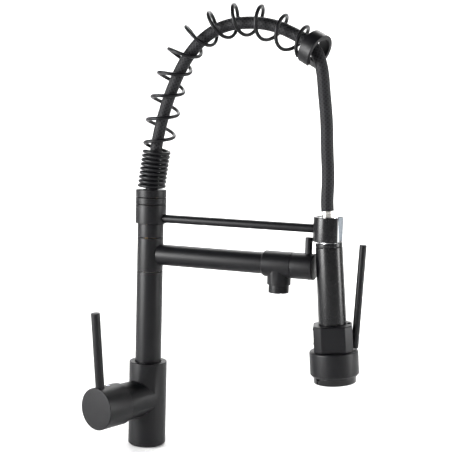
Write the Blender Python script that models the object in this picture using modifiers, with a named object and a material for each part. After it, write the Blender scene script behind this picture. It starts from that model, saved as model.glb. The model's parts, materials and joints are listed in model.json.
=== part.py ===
"""Pull-down kitchen faucet: base with side lever, column, spout with its own valve, and a sprung spray hose.

The frame: origin at the middle of the base's underside, +Z up, +X the way the spout and docking arm point.
Every size is in metres.
"""

import math

import bmesh
import bpy
import numpy as np
from mathutils import Matrix, Vector

MM = 0.001
GAP = 0.3 * MM  # between neighbouring pieces that are fixed together
RUN = 0.35 * MM  # between pieces that move on each other
STEPS = 28
SMALL_STEPS = 16

# base and column
BASE_R = 22.5 * MM
BASE_H = 101.0 * MM
COLUMN_R = 15.5 * MM
COLUMN_WALL = 2.0 * MM
COLUMN_TOP = 209.9 * MM
COLUMN_SINK = 12.0 * MM
LEDGE_GAP = 0.7 * MM
RISER_R = 9.0 * MM
RISER_WALL = 1.8 * MM
RISER_BOTTOM = 83.0 * MM
SPOUT_SEAM = 250.4 * MM  # top of the spout's turning sleeve
COLLAR_BOTTOM = 267.4 * MM
COLLAR_R = 18.2 * MM
COLLAR_LOW_H = 22.2 * MM
COLLAR_RING_H = 7.6 * MM
COLLAR_SEAT_H = 8.8 * MM
SEAM = 0.6 * MM  # the visible line between two turned pieces

# water inlets and fixing stud in the underside
INLET_R = 5.0 * MM
INLET_DEPTH = 14.0 * MM
INLET_SPACING = 22.0 * MM
FEED_OFFSET = 9 * MM
STUD_R = 4.0 * MM
STUD_DEPTH = 18.0 * MM
STUD_OFFSET = 12.5 * MM
PASSAGE_R = 3.0 * MM

# side lever
HANDLE_TURN = 106.6  # degrees from the arms round to the lever's axis
HANDLE_Z = 57.7 * MM
BRANCH_R = 22.0 * MM
BRANCH_END = 46.8 * MM
CAP_R = 24.5 * MM
CAP_WALL = 1.9 * MM
CAP_START = 47.7 * MM
CAP_END = 84.8 * MM
CAP_FACE = 5.0 * MM
LIFT_PIVOT = 36.0 * MM
LEVER_R = 5.2 * MM
LEVER_TOP = 112.6 * MM  # above the lever's axis, measured along the lever
LEVER_OFFSET = 76.4 * MM
LEVER_LEAN = 5.7
CARTRIDGE_R = 15.0 * MM
CARTRIDGE_START = 8.0 * MM
CARTRIDGE_END = 43.0 * MM

# spout
SPOUT_Z = 230.5 * MM
SPOUT_R = 12.4 * MM
SPOUT_WALL = 1.8 * MM
TEE_START = 145.5 * MM
TEE_END = 180.1 * MM
TEE_R = 14.85 * MM
KNOB_END = 205.9 * MM
OUTLET_X = 163.9 * MM
OUTLET_R = 13.5 * MM
OUTLET_BOTTOM = 207.6 * MM
AERATOR_R = 11.7 * MM
AERATOR_H = 9.1 * MM
VALVE_LEVER_R = 4.2 * MM
VALVE_LEVER_X = 198.0 * MM
VALVE_LEVER_TOP = 263.7 * MM

# docking arm
ARM_Z = 273.6 * MM
ARM_R = 4.95 * MM
ARM_REACH = 220.0 * MM
CLIP_R = 16.9 * MM
CLIP_BORE = 13.1 * MM
CLIP_H = 27.4 * MM
CLIP_SLOT = 19.8 * MM

# spring, hose and arch
SPRING_WIRE = 2.15 * MM
SPRING_TIGHT_R = 14.6 * MM  # middle of the wire
SPRING_OPEN_R = 17.2 * MM
SPRING_TIGHT_TURNS = 9
SPRING_TIGHT_H = 45.0 * MM
SPRING_PITCH_START = 27.0 * MM
SPRING_PITCH_END = 27.4 * MM
SPRING_POINTS = 10  # along one turn
SPRING_END_TURN = 329.0
SPRING_LEAN = 12.0  # how far the last turn and the end ring are turned about the upright, in degrees
HOSE_R = 7.1 * MM
ARCH_RISE = 200.0 * MM
# the spring's middle line: fractions of the arm's reach, and of the rise above the collar
ARCH_LINE = (
    (0.0, 0.0),
    (0.010, 0.09),
    (0.029, 0.23),
    (0.060, 0.425),
    (0.125, 0.690),
    (0.235, 0.875),
    (0.372, 0.955),
    (0.482, 0.983),
    (0.605, 0.968),
    (0.710, 0.9225),
    (0.862, 0.836),
)
# the hose's middle line, in the same fractions, from the spring seat to the spray head
HOSE_LINE = (
    (0.0, -0.012),
    (0.008, 0.09),
    (0.034, 0.30),
    (0.122, 0.615),
    (0.188, 0.755),
    (0.290, 0.880),
    (0.400, 0.945),
    (0.530, 0.965),
    (0.680, 0.945),
    (0.800, 0.892),
    (0.885, 0.830),
    (0.930, 0.740),
    (0.953, 0.590),
    (0.970, 0.440),
    (0.981, 0.250),
    (0.990, 0.100),
)
RING_R = 20.0 * MM
RING_BORE = 15.5 * MM
RING_LENGTH = 14.7 * MM
RING_TILT = 28.5
RING_SLOT = 16.4 * MM

# spray head, measured down its own axis from the middle of the clip
HEAD_LEAN = 4.5
HEAD_TWIST = 17.0
FERRULE_R = 7.4 * MM
FERRULE_TOP = 20.6 * MM
NECK_R = 11.6 * MM
NECK_TOP = 13.9 * MM
GRIP_TOP = -14.9 * MM
GRIP_R = 15.1 * MM
GRIP_END_R = 15.7 * MM
BLOCK_TOP = -106.0 * MM
BLOCK_BOTTOM = -134.8 * MM
BLOCK_HALF = 21.6 * MM
BLOCK_CORNER = 8.2 * MM
PLUG_X = 18.2 * MM
PLUG_R = 1.9 * MM
BELL_R = 27.4 * MM
BELL_BOTTOM = -164.0 * MM
NOZZLE_R = 24.0 * MM
NOZZLE_BOTTOM = -171.8 * MM
TRIGGER_R = 4.1 * MM
TRIGGER_TOP = (37.4 * MM, -18.8 * MM)
TRIGGER_FOOT = (23.4 * MM, -133.6 * MM)
TRIGGER_SEAT_GAP = 0.6 * MM  # round the rod where it lies in the block's side
TRIGGER_TRAVEL = 8.0  # degrees
TRIGGER_PIVOT = (13.5 * MM, -117.0 * MM)
ROCKER_PIVOT = (-12.5 * MM, -118.5 * MM)
ROCKER_H = 19.0 * MM
ROCKER_W = 15.0 * MM


def clear_scene():
    for obj in list(bpy.data.objects):
        bpy.data.objects.remove(obj, do_unlink=True)


def collection(name, cutters=False):
    found = bpy.data.collections.new(name)
    bpy.context.scene.collection.children.link(found)
    found.hide_render = cutters
    return found


def material(name, colour, roughness, metallic):
    made = bpy.data.materials.new(name)
    made.use_nodes = True
    shader = made.node_tree.nodes["Principled BSDF"]
    shader.inputs["Base Color"].default_value = (*colour, 1.0)
    shader.inputs["Roughness"].default_value = roughness
    shader.inputs["Metallic"].default_value = metallic
    made.diffuse_color = (*colour, 1.0)
    return made


clear_scene()
PARTS = collection("pull_down_faucet")
CUTTERS = collection("cutters", cutters=True)
BLACK = material("matte_black", (0.05, 0.05, 0.055), 0.45, 0.6)
SATIN = material("satin_black", (0.045, 0.045, 0.05), 0.3, 0.6)
BRASS = material("brass", (0.72, 0.55, 0.3), 0.35, 1.0)
CHROME = material("chrome", (0.8, 0.8, 0.82), 0.12, 1.0)
STEEL = material("stainless_steel", (0.62, 0.62, 0.64), 0.3, 1.0)
SPRING_STEEL = material("black_spring_steel", (0.05, 0.05, 0.055), 0.35, 0.7)
RUBBER = material("black_rubber", (0.03, 0.03, 0.03), 0.8, 0.0)
PLASTIC = material("white_acetal", (0.8, 0.8, 0.78), 0.5, 0.0)
BRAID = material("braided_hose", (0.05, 0.05, 0.055), 0.6, 0.0)


def axis_frame(origin, direction, roll_to=None):
    """A matrix whose Z lies along the direction and whose X leans towards roll_to."""
    z = Vector(direction).normalized()
    x = Vector(roll_to) if roll_to is not None else Vector((1, 0, 0) if abs(z.x) < 0.9 else (0, 1, 0))
    x = (x - z * x.dot(z)).normalized()
    y = z.cross(x)
    turn = Matrix((x, y, z)).transposed().to_4x4()
    return Matrix.Translation(Vector(origin)) @ turn


def polar(degrees):
    return Vector((math.cos(math.radians(degrees)), math.sin(math.radians(degrees)), 0.0))


HANDLE_WAY = polar(-HANDLE_TURN)
UPRIGHT = Matrix.Identity(4)
HANDLE = axis_frame((0, 0, HANDLE_Z), HANDLE_WAY, (0, 0, 1))
SPOUT = axis_frame((0, 0, SPOUT_Z), (1, 0, 0), (0, 0, 1))
ARM = axis_frame((0, 0, ARM_Z), (1, 0, 0), (0, 0, 1))
OUTLET = Matrix.Translation((OUTLET_X, 0, 0))
CLIP = Matrix.Translation((ARM_REACH, 0, ARM_Z))
HEAD = CLIP @ Matrix.Rotation(math.radians(HEAD_TWIST), 4, "Z") @ Matrix.Rotation(math.radians(-HEAD_LEAN), 4, "Y")


def weld(mesh):
    shape = bmesh.new()
    shape.from_mesh(mesh)
    bmesh.ops.remove_doubles(shape, verts=shape.verts, dist=0.00001)
    bmesh.ops.recalc_face_normals(shape, faces=shape.faces)
    shape.to_mesh(mesh)
    shape.free()


def place(obj, frame, group, look):
    obj.matrix_world = frame
    group.objects.link(obj)
    if group is CUTTERS:
        obj.display_type = "WIRE"
    elif look is not None:
        obj.data.materials.append(look)
    return obj


def turned(name, profile, frame, look, group=None, steps=STEPS):
    """A turned piece: a closed outline of (radius, height) points spun about the frame's Z."""
    mesh = bpy.data.meshes.new(name)
    points = [(radius, 0.0, height) for radius, height in profile]
    count = len(points)
    on_axis = profile[0][0] == 0.0 and profile[-1][0] == 0.0
    edges = [(i, (i + 1) % count) for i in range(count - 1 if on_axis else count)]
    mesh.from_pydata(points, edges, [])
    obj = bpy.data.objects.new(name, mesh)
    screw = obj.modifiers.new("turn", "SCREW")
    screw.axis = "Z"
    screw.angle = 2 * math.pi
    screw.steps = steps
    screw.render_steps = steps
    screw.use_merge_vertices = True
    screw.merge_threshold = 0.00001
    PARTS.objects.link(obj)
    spun = bpy.data.meshes.new_from_object(obj.evaluated_get(bpy.context.evaluated_depsgraph_get()))
    bpy.data.objects.remove(obj, do_unlink=True)
    weld(spun)
    return place(bpy.data.objects.new(name, spun), frame, group or PARTS, look)


def rod(name, radius, low, high, frame, look=None, group=None, steps=STEPS, chamfer=0.0):
    """A solid round bar along the frame's Z, its ends chamfered."""
    if chamfer:
        profile = [(0, high), (radius - chamfer, high), (radius, high - chamfer), (radius, low + chamfer),
                   (radius - chamfer, low), (0, low)]
    else:
        profile = [(0, high), (radius, high), (radius, low), (0, low)]
    return turned(name, profile, frame, look, group, steps)


def tube(name, outer, inner, low, high, frame, look=None, group=None, steps=STEPS, chamfer=0.0):
    """A round tube along the frame's Z, its outer edges chamfered."""
    c = chamfer
    if c:
        profile = [(inner, high), (outer - c, high), (outer, high - c), (outer, low + c), (outer - c, low), (inner, low)]
    else:
        profile = [(inner, high), (outer, high), (outer, low), (inner, low)]
    return turned(name, profile, frame, look, group, steps)


def block(name, low, high, frame, look=None, group=None):
    """A box between two corners in the frame."""
    mesh = bpy.data.meshes.new(name)
    xs, ys, zs = zip(low, high)
    corners = [(x, y, z) for x in xs for y in ys for z in zs]
    faces = [(0, 1, 3, 2), (4, 6, 7, 5), (0, 4, 5, 1), (2, 3, 7, 6), (0, 2, 6, 4), (1, 5, 7, 3)]
    mesh.from_pydata(corners, [], faces)
    weld(mesh)
    return place(bpy.data.objects.new(name, mesh), frame, group or PARTS, look)


def join_or_cut(target, other, operation):
    mod = target.modifiers.new(f"{operation.lower()} {other.name}", "BOOLEAN")
    mod.operation = operation
    mod.solver = "EXACT"
    mod.object = other


def cut(target, *others):
    for other in others:
        join_or_cut(target, other, "DIFFERENCE")


def add(target, *others):
    for other in others:
        join_or_cut(target, other, "UNION")


def shade(obj, degrees=32):
    """Bakes the modifiers in, so that the piece is one closed mesh, and shades it smooth between its sharp edges."""
    depsgraph = bpy.context.evaluated_depsgraph_get()
    mesh = bpy.data.meshes.new_from_object(obj.evaluated_get(depsgraph))
    looks = [slot for slot in obj.data.materials if slot]
    obj.modifiers.clear()
    obj.data = mesh
    mesh.materials.clear()
    for look in looks:
        mesh.materials.append(look)
    mesh.polygons.foreach_set("material_index", [0] * len(mesh.polygons))
    mesh.polygons.foreach_set("use_smooth", [True] * len(mesh.polygons))
    mesh.set_sharp_from_angle(angle=math.radians(degrees))
    return obj


# ---------------------------------------------------------------- base, column and their seals


def base_body():
    body = turned("base_body", [
        (0, BASE_H), (COLUMN_R + LEDGE_GAP + 3 * MM, BASE_H), (BASE_R - 0.8 * MM, BASE_H), (BASE_R, BASE_H - 0.8 * MM),
        (BASE_R, 1.8 * MM), (BASE_R - 0.6 * MM, 0.6 * MM), (BASE_R - 1.8 * MM, 0), (BASE_R - 2.3 * MM, 0),
        (BASE_R - 2.3 * MM, 2.4 * MM), (BASE_R - 4.8 * MM, 2.4 * MM), (BASE_R - 4.8 * MM, 0), (0, 0)], UPRIGHT, BLACK)
    branch = rod("branch", BRANCH_R, 0, BRANCH_END, HANDLE, group=CUTTERS, chamfer=0.4 * MM)
    add(body, branch)
    riser_seat = RISER_BOTTOM - GAP
    column_bore = turned("column_bore", [
        (0, BASE_H + 5 * MM), (COLUMN_R + LEDGE_GAP, BASE_H + 5 * MM), (COLUMN_R + LEDGE_GAP, BASE_H - COLUMN_SINK),
        (RISER_R + GAP, BASE_H - COLUMN_SINK), (RISER_R + GAP, riser_seat), (4 * MM, riser_seat),
        (4 * MM, HANDLE_Z + 6 * MM), (0, HANDLE_Z + 6 * MM)], UPRIGHT, None, CUTTERS)
    nut_seat = CARTRIDGE_END - 6 * MM
    cartridge_bore = turned("cartridge_bore", [
        (0, BRANCH_END + 5 * MM), (18.4 * MM, BRANCH_END + 5 * MM), (18.4 * MM, nut_seat), (CARTRIDGE_R + GAP, nut_seat),
        (CARTRIDGE_R + GAP, CARTRIDGE_START - GAP), (0, CARTRIDGE_START - GAP)], HANDLE, None, CUTTERS)
    cut(body, column_bore, cartridge_bore)
    across = HANDLE_WAY.cross(Vector((0, 0, 1)))
    for side in (-1, 1):
        spot = across * (side * INLET_SPACING / 2)
        inlet = rod(f"inlet{side}", INLET_R, -2 * MM, INLET_DEPTH, Matrix.Translation(spot), group=CUTTERS,
                    steps=32)
        feed_spot = across * (side * FEED_OFFSET)
        feed = rod(f"feed{side}", PASSAGE_R, INLET_DEPTH - 1 * MM, HANDLE_Z, Matrix.Translation(feed_spot), group=CUTTERS,
                   steps=SMALL_STEPS)
        port = rod(f"port{side}", PASSAGE_R - 0.2 * MM, -1 * MM, CARTRIDGE_START + 1 * MM,
                   axis_frame(feed_spot + Vector((0, 0, HANDLE_Z - 4 * MM)), HANDLE_WAY), group=CUTTERS, steps=SMALL_STEPS)
        cut(body, inlet, feed, port)
    stud = rod("stud", STUD_R, -2 * MM, STUD_DEPTH, Matrix.Translation(HANDLE_WAY * -STUD_OFFSET), group=CUTTERS, steps=32)
    outlet_port = rod("outlet_port", 3.6 * MM, 0, CARTRIDGE_START + 1 * MM,
                      axis_frame((0, 0, HANDLE_Z + 9 * MM), HANDLE_WAY), group=CUTTERS, steps=SMALL_STEPS)
    cut(body, stud, outlet_port)
    shade(body)
    tube("deck_seal", BASE_R - 2.6 * MM, BASE_R - 4.5 * MM, 0.3 * MM, 2.1 * MM, UPRIGHT, RUBBER)


def column():
    tube("column_tube", COLUMN_R, COLUMN_R - COLUMN_WALL, BASE_H - COLUMN_SINK + GAP, COLUMN_TOP, UPRIGHT, BLACK,
         chamfer=0.4 * MM)
    tube("column_bush", COLUMN_R - COLUMN_WALL - GAP, RISER_R + GAP, COLUMN_TOP - 9 * MM, COLUMN_TOP, UPRIGHT, PLASTIC)
    riser = tube("riser_tube", RISER_R, RISER_R - RISER_WALL, RISER_BOTTOM, COLLAR_BOTTOM + COLLAR_LOW_H - 3 * MM,
                 UPRIGHT, BRASS, steps=24)
    for turn in (0, 90):
        hole = rod(f"riser_hole{turn}", 3.5 * MM, -15 * MM, 15 * MM,
                   axis_frame((0, 0, SPOUT_Z), polar(turn + 45)), group=CUTTERS, steps=16)
        cut(riser, hole)
    shade(riser)
    tube("upper_sleeve", COLUMN_R, RISER_R + GAP, SPOUT_SEAM + SEAM, COLLAR_BOTTOM - RUN, UPRIGHT, BLACK,
         chamfer=0.4 * MM)


def swivel_seal(name, low):
    tube(name, 11.6 * MM, RISER_R + GAP, low, low + 3 * MM, UPRIGHT, RUBBER, steps=24)


# ---------------------------------------------------------------- mixing cartridge and side lever


def cartridge():
    body = turned("cartridge_body", [
        (11.0 * MM, CARTRIDGE_END), (CARTRIDGE_R - 0.6 * MM, CARTRIDGE_END), (CARTRIDGE_R, CARTRIDGE_END - 0.6 * MM),
        (CARTRIDGE_R, CARTRIDGE_START), (0, CARTRIDGE_START), (0, CARTRIDGE_START + 5 * MM),
        (12.6 * MM, CARTRIDGE_START + 5 * MM), (12.6 * MM, CARTRIDGE_END - 4.0 * MM), (11.0 * MM, CARTRIDGE_END - 2.6 * MM)],
        HANDLE, PLASTIC)
    for index, spot in enumerate((Vector((-4, 8, 0)), Vector((-4, -8, 0)), Vector((9, 0, 0)))):
        hole = rod(f"cartridge_port{index}", 2.8 * MM, CARTRIDGE_START - 1 * MM, CARTRIDGE_START + 6 * MM,
                   HANDLE @ Matrix.Translation(spot * MM), group=CUTTERS, steps=16)
        cut(body, hole)
    shade(body)
    turned("cartridge_nut", [
        (12.4 * MM, CARTRIDGE_END + 5.6 * MM), (14.2 * MM, CARTRIDGE_END + 5.6 * MM), (16.2 * MM, CARTRIDGE_END + 3.8 * MM),
        (17.2 * MM, CARTRIDGE_END + 0.8 * MM), (18.0 * MM, CARTRIDGE_END + 0.4 * MM), (18.0 * MM, CARTRIDGE_END - 5.4 * MM),
        (CARTRIDGE_R + GAP, CARTRIDGE_END - 5.4 * MM), (CARTRIDGE_R + GAP, CARTRIDGE_END + GAP),
        (12.4 * MM, CARTRIDGE_END + GAP)], HANDLE, BRASS)
    rotor = rod("cartridge_rotor", 12.2 * MM, CARTRIDGE_START + 5.4 * MM, CARTRIDGE_END - 6.2 * MM, HANDLE, PLASTIC,
                steps=36, chamfer=0.5 * MM)
    cup = turned("rotor_cup", [
        (0, CARTRIDGE_END), (7.8 * MM, CARTRIDGE_END), (7.8 * MM, CARTRIDGE_START + 14 * MM),
        (0, CARTRIDGE_START + 14 * MM)], HANDLE, None, CUTTERS, 24)
    cut(rotor, cup)
    shade(rotor)


def lever():
    stem = turned("cartridge_stem", [
        (0, CAP_END - CAP_FACE - GAP), (3.6 * MM, CAP_END - CAP_FACE - GAP), (3.6 * MM, LIFT_PIVOT + 7 * MM),
        (4.6 * MM, LIFT_PIVOT + 4 * MM), (4.6 * MM, LIFT_PIVOT - 6 * MM), (3.2 * MM, LIFT_PIVOT - 10 * MM),
        (0, LIFT_PIVOT - 10 * MM)], HANDLE, STEEL, steps=24)
    shade(stem)
    cap = turned("handle_cap", [
        (0, CAP_END), (CAP_R - 1.0 * MM, CAP_END), (CAP_R - 0.3 * MM, CAP_END - 0.3 * MM), (CAP_R, CAP_END - 1.0 * MM),
        (CAP_R, CAP_START + 1.2 * MM), (CAP_R - 0.35 * MM, CAP_START + 1.0 * MM), (CAP_R - 0.35 * MM, CAP_START + 0.35 * MM),
        (CAP_R - 0.7 * MM, CAP_START), (CAP_R - CAP_WALL, CAP_START), (CAP_R - CAP_WALL, CAP_END - 20 * MM),
        (CAP_R - 6.0 * MM, CAP_END - 16 * MM), (CAP_R - 12.0 * MM, CAP_END - 16 * MM), (5.6 * MM, CAP_END - 20 * MM),
        (3.6 * MM + GAP, CAP_END - 20 * MM), (3.6 * MM + GAP, CAP_END - CAP_FACE), (0, CAP_END - CAP_FACE)], HANDLE, BLACK)
    lever_frame = HANDLE @ Matrix.Translation((0, 0, LEVER_OFFSET)) @ Matrix.Rotation(math.radians(90 - LEVER_LEAN), 4, "Y")
    hole = rod("lever_hole", LEVER_R + GAP, 14 * MM, CAP_R + 5 * MM, lever_frame, group=CUTTERS, steps=20)
    screw_frame = HANDLE @ Matrix.Translation((0, 0, CAP_END - 18.8 * MM)) @ Matrix.Rotation(math.radians(90), 4, "Y")
    screw_hole = rod("screw_hole", 2.6 * MM, CAP_R - 8 * MM, CAP_R + 5 * MM, screw_frame, group=CUTTERS, steps=24)
    cut(cap, hole, screw_hole)
    shade(cap)
    rod("handle_lever", LEVER_R, 14.4 * MM, LEVER_TOP, lever_frame, BLACK, steps=20, chamfer=0.5 * MM)
    tube("indicator_ring", 2.3 * MM, 1.5 * MM, CAP_R - 6 * MM, CAP_R + 0.3 * MM, screw_frame, CHROME, steps=24)
    rod("handle_set_screw", 1.2 * MM, CAP_R - 6 * MM, CAP_R - 0.8 * MM, screw_frame, STEEL, steps=16)


# ---------------------------------------------------------------- spout with its own valve


def spout():
    arm = tube("spout_arm", COLUMN_R, 12.0 * MM, COLUMN_TOP + SEAM, SPOUT_SEAM, UPRIGHT, BLACK, chamfer=0.4 * MM)
    pipe = rod("spout_pipe", SPOUT_R, 12.6 * MM, TEE_START + 12 * MM, SPOUT, group=CUTTERS)
    pipe_bore = rod("spout_bore", SPOUT_R - SPOUT_WALL, 5 * MM, TEE_START + 15 * MM, SPOUT, group=CUTTERS)
    add(arm, pipe)
    cut(arm, pipe_bore)
    shade(arm)
    tee = turned("spout_tee", [
        (0, TEE_END), (TEE_R - 0.3 * MM, TEE_END), (TEE_R, TEE_END - 0.3 * MM), (TEE_R, TEE_START + 2.4 * MM),
        (TEE_R - 0.4 * MM, TEE_START + 1.0 * MM), (TEE_R - 1.2 * MM, TEE_START + 0.3 * MM), (TEE_R - 2.0 * MM, TEE_START),
        (0, TEE_START)], SPOUT, BLACK)
    boss = rod("outlet_boss", OUTLET_R, OUTLET_BOTTOM, SPOUT_Z - 2 * MM, OUTLET, group=CUTTERS, chamfer=0.3 * MM)
    mouth = turned("outlet_mouth", [
        (0, SPOUT_Z), (7.5 * MM, SPOUT_Z), (7.5 * MM, OUTLET_BOTTOM + 6.4 * MM), (10.6 * MM, OUTLET_BOTTOM + 6.4 * MM),
        (10.6 * MM, OUTLET_BOTTOM - 2 * MM), (0, OUTLET_BOTTOM - 2 * MM)], OUTLET, None, CUTTERS, 24)
    waterway = turned("tee_waterway", [
        (0, TEE_END + 2 * MM), (10.4 * MM, TEE_END + 2 * MM), (10.4 * MM, TEE_START + 12.4 * MM),
        (SPOUT_R + GAP, TEE_START + 12.4 * MM), (SPOUT_R + GAP, TEE_START - 2 * MM), (0, TEE_START - 2 * MM)],
        SPOUT, None, CUTTERS)
    add(tee, boss)
    cut(tee, waterway, mouth)
    shade(tee)


def aerator():
    low = OUTLET_BOTTOM - GAP - AERATOR_H
    housing = turned("aerator_housing", [
        (9.3 * MM, OUTLET_BOTTOM + 5.6 * MM), (10.3 * MM, OUTLET_BOTTOM + 5.6 * MM), (10.3 * MM, OUTLET_BOTTOM - GAP),
        (AERATOR_R - 0.3 * MM, OUTLET_BOTTOM - GAP), (AERATOR_R, OUTLET_BOTTOM - GAP - 0.3 * MM),
        (AERATOR_R, low + 3.8 * MM), (AERATOR_R - 0.3 * MM, low + 3.4 * MM), (AERATOR_R - 0.3 * MM, low + 0.6 * MM),
        (AERATOR_R - 0.9 * MM, low), (9.3 * MM, low)], OUTLET, BLACK)
    for index in range(2):
        notch = block(f"key_slot{index}", (-1.2 * MM, -20 * MM, low - 1 * MM), (1.2 * MM, 20 * MM, low + 1.6 * MM),
                      OUTLET @ Matrix.Rotation(math.radians(35 + 90 * index), 4, "Z"), group=CUTTERS)
        cut(housing, notch)
    shade(housing)
    insert = rod("aerator_insert", 9.0 * MM, low + 1.2 * MM, low + 6.2 * MM, OUTLET, BRASS, steps=36, chamfer=0.4 * MM)
    for turn in range(4):
        hole = rod(f"aerator_hole{turn}", 1.4 * MM, low, low + 8 * MM,
                   OUTLET @ Matrix.Translation(polar(90 * turn) * 5.2 * MM), group=CUTTERS, steps=10)
        cut(insert, hole)
    centre = rod("aerator_hole", 1.6 * MM, low, low + 8 * MM, OUTLET, group=CUTTERS, steps=10)
    cut(insert, centre)
    shade(insert)


def spout_valve():
    turned("valve_core", [
        (0, TEE_END + 16 * MM), (3.6 * MM, TEE_END + 16 * MM), (3.6 * MM, TEE_END + 3.0 * MM), (9.9 * MM, TEE_END + 3.0 * MM),
        (9.9 * MM, TEE_END - 7.5 * MM), (0, TEE_END - 7.5 * MM)], SPOUT, BRASS, steps=24)
    knob = turned("valve_knob", [
        (0, KNOB_END), (TEE_R - 1.4 * MM, KNOB_END), (TEE_R - 0.4 * MM, KNOB_END - 0.4 * MM), (TEE_R, KNOB_END - 1.4 * MM),
        (TEE_R, TEE_END + RUN + 0.3 * MM), (TEE_R - 0.3 * MM, TEE_END + RUN), (10.3 * MM, TEE_END + RUN),
        (10.3 * MM, TEE_END + 3.6 * MM), (3.6 * MM + GAP, TEE_END + 3.6 * MM), (3.6 * MM + GAP, TEE_END + 16.4 * MM),
        (0, TEE_END + 16.4 * MM)], SPOUT, BLACK)
    stem_frame = Matrix.Translation((VALVE_LEVER_X, 0, SPOUT_Z))
    lever_hole = rod("valve_lever_hole", VALVE_LEVER_R + GAP, 7 * MM, 20 * MM, stem_frame, group=CUTTERS, steps=20)
    screw_hole = rod("valve_screw_hole", 2.6 * MM, -20 * MM, -8 * MM, stem_frame, group=CUTTERS, steps=24)
    cut(knob, lever_hole, screw_hole)
    shade(knob)
    high = VALVE_LEVER_TOP - SPOUT_Z
    turned("valve_lever", [
        (0, high), (VALVE_LEVER_R - 1.4 * MM, high - 0.15 * MM), (VALVE_LEVER_R - 0.4 * MM, high - 0.6 * MM),
        (VALVE_LEVER_R, high - 1.5 * MM), (VALVE_LEVER_R, 7.4 * MM), (0, 7.4 * MM)], stem_frame, BLACK, steps=20)
    screw = rod("valve_set_screw", 2.3 * MM, -15.6 * MM, -8.6 * MM, stem_frame, CHROME, steps=24, chamfer=0.3 * MM)
    socket = rod("valve_screw_socket", 1.2 * MM, -17 * MM, -13.5 * MM, stem_frame, group=CUTTERS, steps=6)
    cut(screw, socket)
    shade(screw)


# ---------------------------------------------------------------- docking arm, spring and hose


def dock():
    top = COLLAR_BOTTOM + COLLAR_LOW_H
    collar = turned("dock_collar", [
        (10.6 * MM, top), (COLLAR_R - 0.3 * MM, top), (COLLAR_R, top - 0.3 * MM), (COLLAR_R, COLLAR_BOTTOM + 0.5 * MM),
        (COLLAR_R - 0.5 * MM, COLLAR_BOTTOM), (10.6 * MM, COLLAR_BOTTOM)], UPRIGHT, BLACK)
    hole = rod("arm_hole", ARM_R + GAP, 12 * MM, 25 * MM, ARM, group=CUTTERS, steps=20)
    cut(collar, hole)
    shade(collar)
    tube("dock_bush", 10.6 * MM - GAP, RISER_R + RUN, COLLAR_BOTTOM, top - 3 * MM, UPRIGHT, PLASTIC, steps=24)
    ring_low = top + SEAM
    ring_top = ring_low + COLLAR_RING_H
    tube("collar_ring", COLLAR_R, 10.0 * MM, ring_low, ring_top, UPRIGHT, BLACK, chamfer=0.3 * MM)
    tube("spring_seat", COLLAR_R, 10.0 * MM, ring_top + SEAM, ring_top + SEAM + COLLAR_SEAT_H, UPRIGHT, BLACK,
         chamfer=0.3 * MM)
    tube("hose_nut", 9.6 * MM, 5.0 * MM, ring_low - 2.4 * MM, ring_top + SEAM + COLLAR_SEAT_H - 3.6 * MM, UPRIGHT, BRASS,
         steps=24, chamfer=0.6 * MM)
    rod("dock_rod", ARM_R, 12.4 * MM, ARM_REACH - CLIP_BORE - 1.2 * MM, ARM, BLACK, steps=20)


def dock_clip():
    clip = tube("dock_clip", CLIP_R, CLIP_BORE, -CLIP_H / 2, CLIP_H / 2, CLIP, SATIN, chamfer=0.5 * MM)
    slot = block("clip_slot", (5 * MM, -CLIP_SLOT / 2, -CLIP_H), (30 * MM, CLIP_SLOT / 2, CLIP_H), CLIP, group=CUTTERS)
    arm_hole = rod("clip_arm_hole", ARM_R + GAP, ARM_REACH - CLIP_R - 10 * MM, ARM_REACH - CLIP_BORE - 1.0 * MM, ARM,
                   group=CUTTERS, steps=20)
    cut(clip, slot, arm_hole)
    shade(clip)


def smooth_line(points, count):
    """Points evenly spaced along a natural cubic spline through the given ones, as an array."""
    knots = np.array(points, float)
    span = np.concatenate(([0.0], np.cumsum(np.linalg.norm(np.diff(knots, axis=0), axis=1))))
    h = np.diff(span)
    size = len(knots)
    system = np.zeros((size, size))
    right = np.zeros((size, knots.shape[1]))
    system[0, 0] = system[-1, -1] = 1.0
    for i in range(1, size - 1):
        system[i, i - 1:i + 2] = h[i - 1], 2 * (h[i - 1] + h[i]), h[i]
        right[i] = 6 * ((knots[i + 1] - knots[i]) / h[i] - (knots[i] - knots[i - 1]) / h[i - 1])
    bend = np.linalg.solve(system, right)
    fine = np.linspace(0, span[-1], 40 * size)
    i = np.clip(np.searchsorted(span, fine, side="right") - 1, 0, size - 2)
    a = ((span[i + 1] - fine) / h[i])[:, None]
    b = 1 - a
    step = h[i][:, None]
    line = a * knots[i] + b * knots[i + 1] + ((a ** 3 - a) * bend[i] + (b ** 3 - b) * bend[i + 1]) * step ** 2 / 6
    length = np.concatenate(([0.0], np.cumsum(np.linalg.norm(np.diff(line, axis=0), axis=1))))
    even = np.linspace(0, length[-1], count)
    return np.stack([np.interp(even, length, line[:, k]) for k in range(line.shape[1])], axis=1), length[-1]


def arch_points(fractions):
    low = collar_top()
    return [(x * ARM_REACH, low + z * ARCH_RISE) for x, z in fractions]


def collar_top():
    return COLLAR_BOTTOM + COLLAR_LOW_H + COLLAR_RING_H + COLLAR_SEAT_H + 2 * SEAM


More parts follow.
